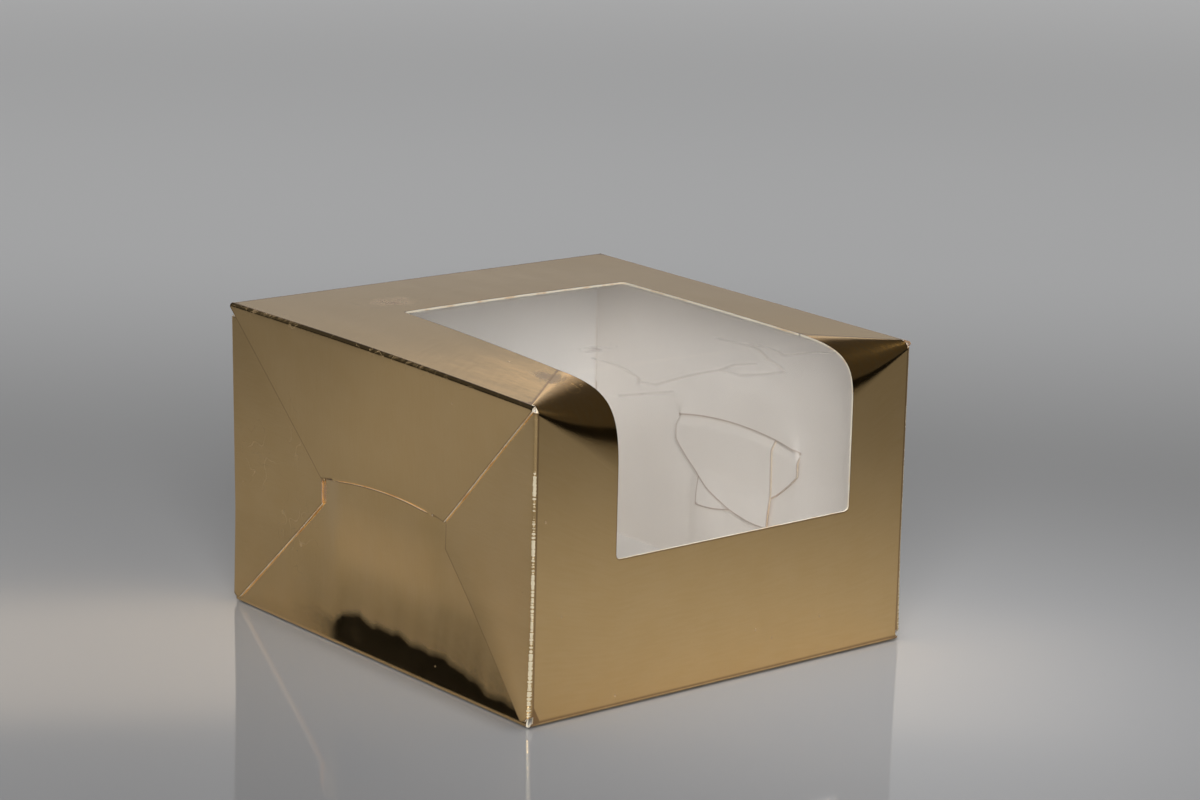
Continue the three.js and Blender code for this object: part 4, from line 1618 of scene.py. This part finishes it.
    def build(self) -> None:
        """Rolls the film, gives it its thickness and puts it behind the cut-out."""
        mesh = bpy.data.meshes.new("film_seed")
        maker = bpy.data.objects.new("film_maker", mesh)
        bpy.context.scene.collection.objects.link(maker)
        tree = self._tree()
        modifier = maker.modifiers.new("roll", "NODES")
        modifier.node_group = tree
        sockets = {s.name: s.identifier for s in tree.interface.items_tree if s.in_out == "INPUT"}
        for name, number in self._inputs().items():
            modifier[sockets[name]] = float(number)
        thicken = maker.modifiers.new("thickness", "SOLIDIFY")
        thicken.thickness = self.thickness * MM
        thicken.offset = -1.0
        seen = maker.evaluated_get(bpy.context.evaluated_depsgraph_get())
        made = bpy.data.meshes.new_from_object(seen)
        made.name = "window_film_sheet"
        points = np.zeros(len(made.vertices) * 3)
        made.vertices.foreach_get("co", points)
        creased = self._crease(made, points.reshape(-1, 3) / MM)
        moved = self.carton.settling.move(creased, self.carton) * MM
        made.vertices.foreach_set("co", moved.ravel())
        bpy.data.objects.remove(maker)
        piece = bpy.data.objects.new("window_film_sheet", made)
        bpy.context.scene.collection.objects.link(piece)
        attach(piece, "sleeve")
        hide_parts("window_film")
        log.info("window_film_sheet: %d faces", len(made.polygons))


class Shader:
    """A material and the nodes that feed its surface."""

    def __init__(self, name: str) -> None:
        """Makes an empty material with one Principled BSDF.

        Args:
            name: The material's name.
        """
        self.material = bpy.data.materials.new(name)
        self.material.use_nodes = True
        self.tree = self.material.node_tree
        self.surface = self.tree.nodes["Principled BSDF"]

    def node(self, kind: str, **settings: object) -> bpy.types.Node:
        """Adds a node.

        Args:
            kind: Its type.
            **settings: Its options.

        Returns:
            The node.
        """
        made = self.tree.nodes.new(kind)
        for name, value in settings.items():
            setattr(made, name, value)
        return made

    def link(self, source: bpy.types.NodeSocket | Wire, target: bpy.types.NodeSocket | str) -> None:
        """Links a value to a socket.

        Args:
            source: A socket or a wire.
            target: A socket, or the name of one of the surface's.
        """
        source = source.socket if isinstance(source, Wire) else source
        target = self.surface.inputs[target] if isinstance(target, str) else target
        self.tree.links.new(source, target)

    def attribute(self, name: str) -> Wire:
        """Reads a number that the mesh carries at each point."""
        return Wire(self.tree, self.node("ShaderNodeAttribute", attribute_name=name).outputs["Fac"])

    def mix(self, share: Wire, a: Colour, b: Colour) -> bpy.types.NodeSocket:
        """Mixes two colours.

        Args:
            share: Share of the second colour.
            a: The first colour.
            b: The second one.

        Returns:
            The mixed colour.
        """
        made = self.node("ShaderNodeMix", data_type="RGBA")
        self.link(share, made.inputs["Factor"])
        for slot, value in (("A", a), ("B", b)):
            target = next(s for s in made.inputs if s.name == slot and s.type == "RGBA")
            if isinstance(value, tuple):
                target.default_value = (*value, 1.0)
            else:
                self.link(value, target)
        return next(s for s in made.outputs if s.type == "RGBA")

    def use(self, group: bpy.types.NodeTree, **values: float) -> bpy.types.Node:
        """Places a shared effect.

        Args:
            group: The effect.
            **values: Its inputs, by their names in lower case.

        Returns:
            The group's node.
        """
        made = self.node("ShaderNodeGroup")
        made.node_tree = group
        for name, value in values.items():
            made.inputs[name.replace("_", " ").title()].default_value = value
        return made

    def bump(self, height: Wire, strength: float, distance: float) -> None:
        """Turns a height into the surface's normal.

        Args:
            height: The height, from about 0 to 1.
            strength: Strength of the bump.
            distance: What a height of 1 stands for, in millimetres.
        """
        bump = self.node("ShaderNodeBump")
        bump.inputs["Strength"].default_value = strength
        bump.inputs["Distance"].default_value = distance * MM
        self.link(height, bump.inputs["Height"])
        self.link(bump.outputs[0], "Normal")


class Effects:
    """The effects that more than one finish uses, each built once."""

    specks: float = 22.0  # how many places for a speck there are in 100 mm
    speck_share: float = 0.7  # the share of those places that stays without one

    def __init__(self) -> None:
        """Builds the groups."""
        self.grain = self._grain()
        self.wear = self._wear()

    @staticmethod
    def _group(name: str, inputs: dict[str, float], outputs: Sequence[str]) -> bpy.types.NodeTree:
        """Makes an empty group.

        Args:
            name: Its name.
            inputs: Its inputs with their defaults.
            outputs: Its outputs.

        Returns:
            The group.
        """
        tree = bpy.data.node_groups.new(name, "ShaderNodeTree")
        for label, value in inputs.items():
            made = tree.interface.new_socket(label, in_out="INPUT", socket_type="NodeSocketFloat")
            made.default_value = value
        for label in outputs:
            tree.interface.new_socket(label, in_out="OUTPUT", socket_type="NodeSocketFloat")
        return tree

    @staticmethod
    def _noise(tree: bpy.types.NodeTree, vector: bpy.types.NodeSocket, detail: float) -> Wire:
        """Adds noise with one cell per unit.

        Args:
            tree: The group to add to.
            vector: Where to read it.
            detail: Its detail.

        Returns:
            Its value, about 0.5 on average.
        """
        noise = tree.nodes.new("ShaderNodeTexNoise")
        noise.inputs["Detail"].default_value = detail
        noise.inputs["Scale"].default_value = 1.0
        tree.links.new(vector, noise.inputs["Vector"])
        return Wire(tree, noise.outputs[0])

    @staticmethod
    def _stretched(
        tree: bpy.types.NodeTree, along: Wire | float, across: Wire | float
    ) -> bpy.types.NodeSocket:
        """The blank's map, stretched.

        Args:
            tree: The group to add to.
            along: Cells per 100 mm along the board's grain.
            across: Cells per 100 mm across it.

        Returns:
            The stretched coordinates.
        """
        uv = tree.nodes.new("ShaderNodeUVMap")
        uv.uv_map = "blank"
        split = tree.nodes.new("ShaderNodeSeparateXYZ")
        tree.links.new(uv.outputs[0], split.inputs[0])
        join = tree.nodes.new("ShaderNodeCombineXYZ")
        for source, target, scale in zip(split.outputs, join.inputs, (along, across)):
            tree.links.new((Wire(tree, source) * scale).socket, target)
        return join.outputs[0]

    def _grain(self) -> bpy.types.NodeTree:
        """Fine streaks along the board's grain, and soft unevenness.

        Returns:
            The group.
        """
        sizes = {"Along": 20.0, "Across": 300.0, "Mottle": 14.0}
        tree = self._group("board_grain", sizes, ("Streak", "Mottle"))
        given, out = tree.nodes.new("NodeGroupInput"), tree.nodes.new("NodeGroupOutput")
        along, across, size = (Wire(tree, given.outputs[name]) for name in ("Along", "Across", "Mottle"))
        streak = self._noise(tree, self._stretched(tree, along, across), detail=3.0)
        tree.links.new(streak.socket, out.inputs["Streak"])
        mottle = self._noise(tree, self._stretched(tree, size, size), detail=3.0)
        tree.links.new(mottle.socket, out.inputs["Mottle"])
        return tree

    def _wear(self) -> bpy.types.NodeTree:
        """Smudges, hairline scratches and specks; the first two only where the mesh says it was rubbed.

        Returns:
            The group.
        """
        sizes = {"Along": 30.0, "Across": 90.0, "Speck Size": 0.05}
        tree = self._group("board_wear", sizes, ("Scuff", "Scratch", "Speck"))
        given, out = tree.nodes.new("NodeGroupInput"), tree.nodes.new("NodeGroupOutput")
        mark = tree.nodes.new("ShaderNodeAttribute")
        mark.attribute_name = "rub"
        rub = Wire(tree, mark.outputs["Fac"])
        along, across = (Wire(tree, given.outputs[name]) for name in ("Along", "Across"))
        patch = self._noise(tree, self._stretched(tree, along, across), detail=6.0)
        scuff = (rub * patch * 2.0).ramp(low=0.45, high=1.1)
        tree.links.new(scuff.socket, out.inputs["Scuff"])
        field_of_lines = self._noise(tree, self._stretched(tree, across * 0.25, along * 0.5), detail=2.0)
        line = (field_of_lines - 0.5).absolute()
        scratch = line.ramp(low=0.006, high=0.0) * rub.ramp(low=0.05, high=0.4)
        tree.links.new(scratch.socket, out.inputs["Scratch"])
        cells = tree.nodes.new("ShaderNodeTexVoronoi")
        cells.inputs["Scale"].default_value = 1.0
        tree.links.new(self._stretched(tree, self.specks, self.specks), cells.inputs["Vector"])
        chosen = tree.nodes.new("ShaderNodeSeparateXYZ")
        tree.links.new(cells.outputs["Color"], chosen.inputs[0])
        inside = Wire(tree, given.outputs["Speck Size"]) - Wire(tree, cells.outputs["Distance"])
        kept = Wire(tree, chosen.outputs[0]).ramp(low=self.speck_share, high=self.speck_share + 0.02)
        tree.links.new((inside.ramp(low=0.0, high=0.02) * kept).socket, out.inputs["Speck"])
        return tree


class Marks:
    """The marks of one finish: values from 0 to 1 that its colours and roughness are weighed from."""

    def __init__(self, shader: Shader, *nodes: bpy.types.Node) -> None:
        """Takes the marks that the shared effects give.

        Args:
            shader: The finish's shader.
            *nodes: The nodes of the effects placed in it.
        """
        self.values = {o.name.lower(): Wire(shader.tree, o) for node in nodes for o in node.outputs}

    def sum(self, **weights: float) -> Wire:
        """Adds up marks.

        Args:
            **weights: The weight of each mark, by its name.

        Returns:
            The sum.
        """
        parts = [self.values[name] * weight for name, weight in weights.items()]
        total = parts[0]
        for part in parts[1:]:
            total = total + part
        return total


@dataclass(frozen=True)
class FoilFinish:
    """Gold metallised foil under a clear gloss varnish, rubbed in places and cracked along some folds, with
    painted shade along its cut edges and at the top of the front left crease.
    """

    dark: Rgb = (0.93, 0.625, 0.27)
    light: Rgb = (0.97, 0.665, 0.305)
    # Also the colour of the painted shade at the top of the front left crease.
    rubbed: Rgb = (0.43, 0.31, 0.235)
    cracked: Rgb = (0.80, 0.69, 0.48)
    # Painted shade: the foil is darkened next to every cut edge, standing in for the thin shadow along it.
    edge: Rgb = (0.36, 0.20, 0.09)
    edge_shade_mm: float = 0.3
    edge_shade_share: float = 0.8
    strained: Rgb = (0.92, 0.50, 0.13)
    smoothest: float = 0.05
    coat_weight: float = 0.4
    coat_roughness: float = 0.08
    wave_mm: float = 0.04

    def make(self, effects: Effects) -> bpy.types.Material:
        """Makes the material.

        Args:
            effects: The shared effects.

        Returns:
            The material.
        """
        s = Shader("gold_foil")
        grain = s.use(effects.grain, along=16.0, across=260.0, mottle=13.0)
        marks = Marks(s, grain, s.use(effects.wear, along=26.0, across=70.0, speck_size=0.05))
        crackle = Wire(s.tree, s.use(effects.grain, along=150.0, across=18.0).outputs["Streak"])
        bent = s.attribute("bent")
        marks.values["strain"] = bent * crackle
        cracks = s.attribute("fold") * (marks.sum(streak=4.0, mottle=4.0) - 3.0)
        crack = marks.values["crack"] = cracks.ramp(low=0.5, high=0.85)
        tone = s.mix(marks.sum(streak=0.5, mottle=0.5).ramp(low=0.3, high=0.7), self.dark, self.light)
        tone = s.mix(marks.sum(scuff=0.75, scratch=0.3, speck=0.5).clamped(), tone, self.rubbed)
        # Painted shade next to the cut edges.
        rim = s.attribute("rim").ramp(low=self.edge_shade_mm, high=0.0) * self.edge_shade_share
        tone = s.mix(rim, tone, self.edge)
        tone = s.mix((crackle.ramp(low=0.3, high=0.6) * 0.4 + 0.5) * bent, tone, self.strained)
        s.link(s.mix(crack, tone, self.cracked), "Base Color")
        s.link(marks.sum(scuff=0.55, scratch=0.4, speck=0.6, crack=1.0).clamped().flipped(), "Metallic")
        rough = marks.sum(mottle=0.06, streak=0.04, scuff=0.25, crack=0.3, strain=0.1)
        s.link(rough + self.smoothest, "Roughness")
        s.link(marks.sum(scuff=0.5, crack=1.0).clamped().flipped() * self.coat_weight, "Coat Weight")
        s.surface.inputs["Coat Roughness"].default_value = self.coat_roughness
        s.bump(marks.sum(mottle=1.0, streak=0.02, strain=0.2), strength=1.0, distance=self.wave_mm)
        return s.material


@dataclass(frozen=True)
class InsideFinish:
    """The white inside of the board, with painted shade along the cut edges of tips and lips, partly for
    foil drawn over the cut.
    """

    pale: Rgb = (0.91, 0.88, 0.84)
    shade: Rgb = (0.88, 0.845, 0.80)
    warm: Rgb = (0.91, 0.81, 0.70)
    # Painted shade along the cut edges of tips and lips, partly standing in for the shadow between the
    # pieces and partly for foil drawn over the cut.
    outline: Rgb = (0.46, 0.33, 0.25)
    outline_shade_mm: float = 0.45
    outline_shade_share: float = 0.85

    def make(self, effects: Effects) -> bpy.types.Material:
        """Makes the material.

        Args:
            effects: The shared effects.

        Returns:
            The material.
        """
        s = Shader("white_inside")
        grain = s.use(effects.grain, along=50.0, across=90.0, mottle=8.0)
        marks = Marks(s, grain, s.use(effects.wear, along=30.0, across=30.0, speck_size=0.03))
        shaded = marks.sum(mottle=0.7, streak=0.3, speck=0.3).ramp(low=0.35, high=0.7)
        tone = s.mix(s.attribute("warm"), s.mix(shaded, self.pale, self.shade), self.warm)
        # Painted shade along the rims of tips and lips.
        line = s.attribute("rim").ramp(low=self.outline_shade_mm, high=0.0) * s.attribute("edge_shade_mask")
        s.link(s.mix(line * self.outline_shade_share, tone, self.outline), "Base Color")
        s.link(marks.sum(streak=0.15) + 0.55, "Roughness")
        s.bump(marks.values["streak"], strength=0.1, distance=0.02)
        return s.material


@dataclass(frozen=True)
class CutFinish:
    """The cut edge of the board: pale, and darker on tips and lips, which is partly a warm line of foil and
    partly painted shade.
    """

    pale: Rgb = (0.96, 0.88, 0.72)
    warm: Rgb = (0.86, 0.66, 0.44)
    # Tone of the cut edges of tips and lips: partly a warm line of foil, partly painted shade.
    dark: Rgb = (0.46, 0.29, 0.17)

    def make(self, effects: Effects) -> bpy.types.Material:
        """Makes the material.

        Args:
            effects: The shared effects.

        Returns:
            The material.
        """
        s = Shader("cut_edge")
        marks = Marks(s, s.use(effects.grain, along=40.0, across=40.0, mottle=25.0))
        tone = s.mix(marks.values["mottle"].ramp(low=0.46, high=0.66), self.pale, self.warm)
        # Painted shade, with a warm line of foil, on the cut edges of tips and lips.
        s.link(s.mix(s.attribute("warm") * s.attribute("edge_shade_mask"), tone, self.dark), "Base Color")
        s.link(marks.sum(streak=0.2) + 0.6, "Roughness")
        return s.material


@dataclass(frozen=True)
class FilmFinish:
    """Clear film, a little hazy, with soft creases, smudges, and painted shade along the creases."""

    tint: Rgb = (0.86, 0.86, 0.86)
    # Colour of the smudges, and of the painted shade along the film's creases.
    smudged_and_shaded: Rgb = (0.42, 0.36, 0.31)
    haze: float = 0.06
    edge_haze: float = 0.12
    smoothest: float = 0.05

    def make(self, effects: Effects) -> bpy.types.Material:
        """Makes the material.

        Args:
            effects: The shared effects.

        Returns:
            The material.
        """
        s = Shader("clear_film")
        marks = Marks(s, s.use(effects.wear, along=40.0, across=40.0, speck_size=0.03))
        marks.values["crease"] = s.attribute("crease")
        facing = s.node("ShaderNodeLayerWeight")
        facing.inputs["Blend"].default_value = 0.35
        marks.values["grazing"] = Wire(s.tree, facing.outputs["Facing"]).power(3.0)
        # Smudges and scratches, and painted shade along the creases.
        smudge_and_shade = marks.sum(scuff=1.0, scratch=1.0, crease=1.0).clamped()
        s.link(s.mix(smudge_and_shade, self.tint, self.smudged_and_shaded), "Base Color")
        haze = marks.sum(grazing=self.edge_haze, scuff=0.3, scratch=0.2, crease=0.16) + self.haze
        s.link(haze.clamped(), "Alpha")
        s.link(marks.sum(scuff=0.3) + self.smoothest, "Roughness")
        return s.material


@dataclass(frozen=True)
class Glow:
    """A pale stretch of the room's wall, which the foil and the floor mirror.

    Azimuths are compass degrees with 0 along +Y and 90 along +X. The stretch fades out between the two
    spreads on either side of its azimuth, and over fade degrees below low and above high.
    """

    level: float
    azimuth: float
    full_spread: float
    spread: float
    low: float
    high: float
    fade: float
    tint: Rgb = (1.0, 1.0, 1.0)


@dataclass(frozen=True)
class Lamp:
    """A soft lamp. Its place is an azimuth, an elevation and a distance in metres from what it is aimed at.

    Without a cone it is a square panel. A cone, in degrees, makes it a spot with a soft edge.
    """

    name: str
    azimuth: float
    elevation: float
    distance: float
    size: float
    power: float
    cone: float = 0.0
    aim: Xyz = (0.0, 0.0, 0.0)

    def make(self) -> None:
        """Makes the lamp and points it."""
        if self.cone:
            data = bpy.data.lights.new(self.name, "SPOT")
            data.spot_size = math.radians(self.cone)
            data.spot_blend = 1.0
            data.shadow_soft_size = self.size / 2
        else:
            data = bpy.data.lights.new(self.name, "AREA")
            data.size = self.size
        data.energy = self.power
        made = bpy.data.objects.new(self.name, data)
        turn, rise = math.radians(self.azimuth), math.radians(self.elevation)
        away = Vector((math.sin(turn) * math.cos(rise), math.cos(turn) * math.cos(rise), math.sin(rise)))
        made.location = Vector(self.aim) + away * self.distance
        made.rotation_mode = "QUATERNION"
        made.rotation_quaternion = (-away).to_track_quat("-Z", "Y")
        bpy.context.scene.collection.objects.link(made)


@dataclass
class Studio:
    """A pale floor, painted paler and glowing towards the back as painted light, soft lamps, and the camera
    at the photograph's viewing angle.
    """

    # The floor is painted paler towards the back, and glows there for the camera and in reflections: painted
    # light where the lamps give too little.
    floor_near: Rgb = (0.395, 0.397, 0.406)
    floor_far: Rgb = (0.84, 0.85, 0.87)
    pale_from: float = 0.10
    pale_to: float = 0.37
    backdrop_glow: float = 0.135
    backdrop_from: float = -0.12
    backdrop_to: float = 0.56
    floor_roughness: float = 0.05
    floor_reach: float = 4.0  # metres
    floor_drop: float = 0.0002  # metres below the carton
    ambient: float = 0.005
    # Level, azimuth, full spread, spread, low, high, fade, tint.
    glows: tuple[Glow, ...] = (
        Glow(0.275, 39.0, 35.0, 75.0, -60.0, 20.0, 8.0),
        Glow(0.22, 39.0, 35.0, 75.0, -60.0, 7.0, 2.5),
        Glow(0.65, 34.0, 4.0, 15.0, 17.7, 19.1, 0.5, (1.0, 0.8, 0.58)),
        Glow(0.25, 225.0, 35.0, 60.0, 5.0, 22.0, 5.0),
        Glow(0.034, 0.0, HALF_TURN, HALF_TURN, 14.0, 80.0, 5.0),
    )
    # Name, azimuth, elevation, distance, size, power, cone, aim.
    lamps: tuple[Lamp, ...] = (
        Lamp("overhead", 0.0, 90.0, 1.0, 0.5, 0.8),
        Lamp("pool", 0.0, 90.0, 1.2, 0.16, 36.0, 13.0, (0.034, -0.068, 0.0)),
        Lamp("side_pool", 0.0, 90.0, 1.2, 0.16, 16.5, 12.5, (-0.145, 0.085, 0.0)),
        Lamp("key", 219.0, 30.0, 1.2, 0.6, 9.5),
    )
    camera_place: Xyz = (-462.8, -581.4, 238.4)
    camera_azimuth: float = 39.02
    camera_drop: float = 14.39
    camera_roll: float = 1.325
    focal_pixels: float = 3688.2
    frame_width: float = 1200.0
    sensor: float = 36.0

    def camera(self) -> None:
        """Makes the camera."""
        data = bpy.data.cameras.new("camera")
        data.sensor_width = self.sensor
        data.lens = self.focal_pixels / self.frame_width * self.sensor
        data.clip_start, data.clip_end = 0.01, 20.0
        angles = (self.camera_azimuth, self.camera_drop, self.camera_roll)
        turn, drop, roll = (math.radians(angle) for angle in angles)
        ahead = Vector((math.cos(drop) * math.sin(turn), math.cos(drop) * math.cos(turn), -math.sin(drop)))
        right = Vector((math.cos(turn), -math.sin(turn), 0.0))
        up = right.cross(ahead)
        rolled_right = math.cos(roll) * right + math.sin(roll) * up
        rolled_up = -math.sin(roll) * right + math.cos(roll) * up
        axes = Matrix((rolled_right, rolled_up, -ahead)).transposed().to_4x4()
        axes.translation = Vector(self.camera_place) * MM
        made = bpy.data.objects.new("camera", data)
        made.matrix_world = axes
        bpy.context.scene.collection.objects.link(made)
        bpy.context.scene.camera = made

    def floor(self) -> None:
        """Makes the glossy floor, painted paler towards the back and glowing there as painted light."""
        mesh = bpy.data.meshes.new("floor")
        reach, z = self.floor_reach, -self.floor_drop
        corners = [(-reach, -reach, z), (reach, -reach, z), (reach, reach, z), (-reach, reach, z)]
        mesh.from_pydata(corners, [], [(0, 1, 2, 3)])
        s = Shader("studio_floor")
        place = s.node("ShaderNodeTexCoord")
        turn = math.radians(self.camera_azimuth)
        away = s.node("ShaderNodeVectorMath", operation="DOT_PRODUCT")
        away.inputs[1].default_value = (math.sin(turn), math.cos(turn), 0.0)
        s.link(place.outputs["Object"], away.inputs[0])
        behind = Wire(s.tree, away.outputs["Value"])
        # Painted light: paler towards the back.
        painted_paleness = behind.ramp(self.pale_from, self.pale_to)
        s.link(s.mix(painted_paleness, self.floor_near, self.floor_far), "Base Color")
        path = s.node("ShaderNodeLightPath").outputs
        seen = Wire(s.tree, path["Is Camera Ray"]) + Wire(s.tree, path["Is Glossy Ray"])
        seen = (seen + Wire(s.tree, path["Is Transmission Ray"])).clamped()
        # Painted light: a glow towards the back, seen by the camera and in reflections.
        painted_glow = seen * behind.ramp(self.backdrop_from, self.backdrop_to)
        s.link(s.mix(painted_glow, (0.0, 0.0, 0.0), (self.backdrop_glow,) * 3), "Emission Color")
        s.surface.inputs["Emission Strength"].default_value = 1.0
        s.surface.inputs["Roughness"].default_value = self.floor_roughness
        mesh.materials.append(s.material)
        made = bpy.data.objects.new("floor", mesh)
        bpy.context.scene.collection.objects.link(made)
        made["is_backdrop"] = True

    def world(self) -> None:
        """Makes a dark room with pale stretches of wall."""
        world = bpy.data.worlds.new("studio")
        bpy.context.scene.world = world
        world.use_nodes = True
        tree = world.node_tree
        shade = tree.nodes["Background"]
        way = tree.nodes.new("ShaderNodeTexCoord")
        split = tree.nodes.new("ShaderNodeSeparateXYZ")
        tree.links.new(way.outputs["Generated"], split.inputs[0])
        x, y, rise = (Wire(tree, socket) for socket in split.outputs)
        level = (x * x + y * y).power(0.5)
        light = tree.nodes.new("ShaderNodeCombineXYZ").outputs[0]
        for socket in light.node.inputs:
            socket.default_value = self.ambient
        for glow in self.glows:
            low, below, high, over = (
                math.sin(math.radians(angle))
                for angle in (glow.low, glow.low - glow.fade, glow.high, glow.high + glow.fade)
            )
            share = rise.ramp(below, low) * rise.ramp(high, over).flipped()
            if glow.spread < HALF_TURN:
                turn = math.radians(glow.azimuth)
                toward = (x * math.sin(turn) + y * math.cos(turn)) / level
                none, full = (math.cos(math.radians(angle)) for angle in (glow.spread, glow.full_spread))
                share = share * toward.ramp(none, full)
            add = tree.nodes.new("ShaderNodeVectorMath")
            add.operation = "MULTIPLY_ADD"
            add.inputs[1].default_value = tuple(glow.level * part for part in glow.tint)
            tree.links.new(share.socket, add.inputs[0])
            tree.links.new(light, add.inputs[2])
            light = add.outputs[0]
        tree.links.new(light, shade.inputs["Color"])
        shade.inputs["Strength"].default_value = 1.0

    def build(self) -> None:
        """Makes the whole studio and sets the plain view transform."""
        self.camera()
        self.floor()
        for lamp in self.lamps:
            lamp.make()
        self.world()
        bpy.context.scene.view_settings.view_transform = "Standard"


def main() -> None:
    """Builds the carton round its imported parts."""
    logging.basicConfig(level=logging.INFO, format="%(name)s: %(message)s")
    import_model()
    cad_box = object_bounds()
    carton = Carton.from_frame(*cad_box)
    window = Window()
    effects = Effects()
    kinds = (FoilFinish(), InsideFinish(), CutFinish(), FilmFinish())
    finishes = Finishes(*(kind.make(effects) for kind in kinds))
    Studio().build()
    Sleeve(carton, window, finishes).build()
    FilmSheet(carton, window, finishes).build()
    slit = Slit(start=31.0, end=71.0, start_height=33.3, end_height=33.3, rise=1.9)
    Closure(End.LEFT, slit, Sink(at_start=1.3, at_end=3.2), carton, finishes).build()
    Closure(End.RIGHT, slit, Sink(at_start=0.5, at_end=0.5), carton, finishes, lid_warmth_and_edge_shade=1.0).build()


if __name__ == "__main__":
    main()
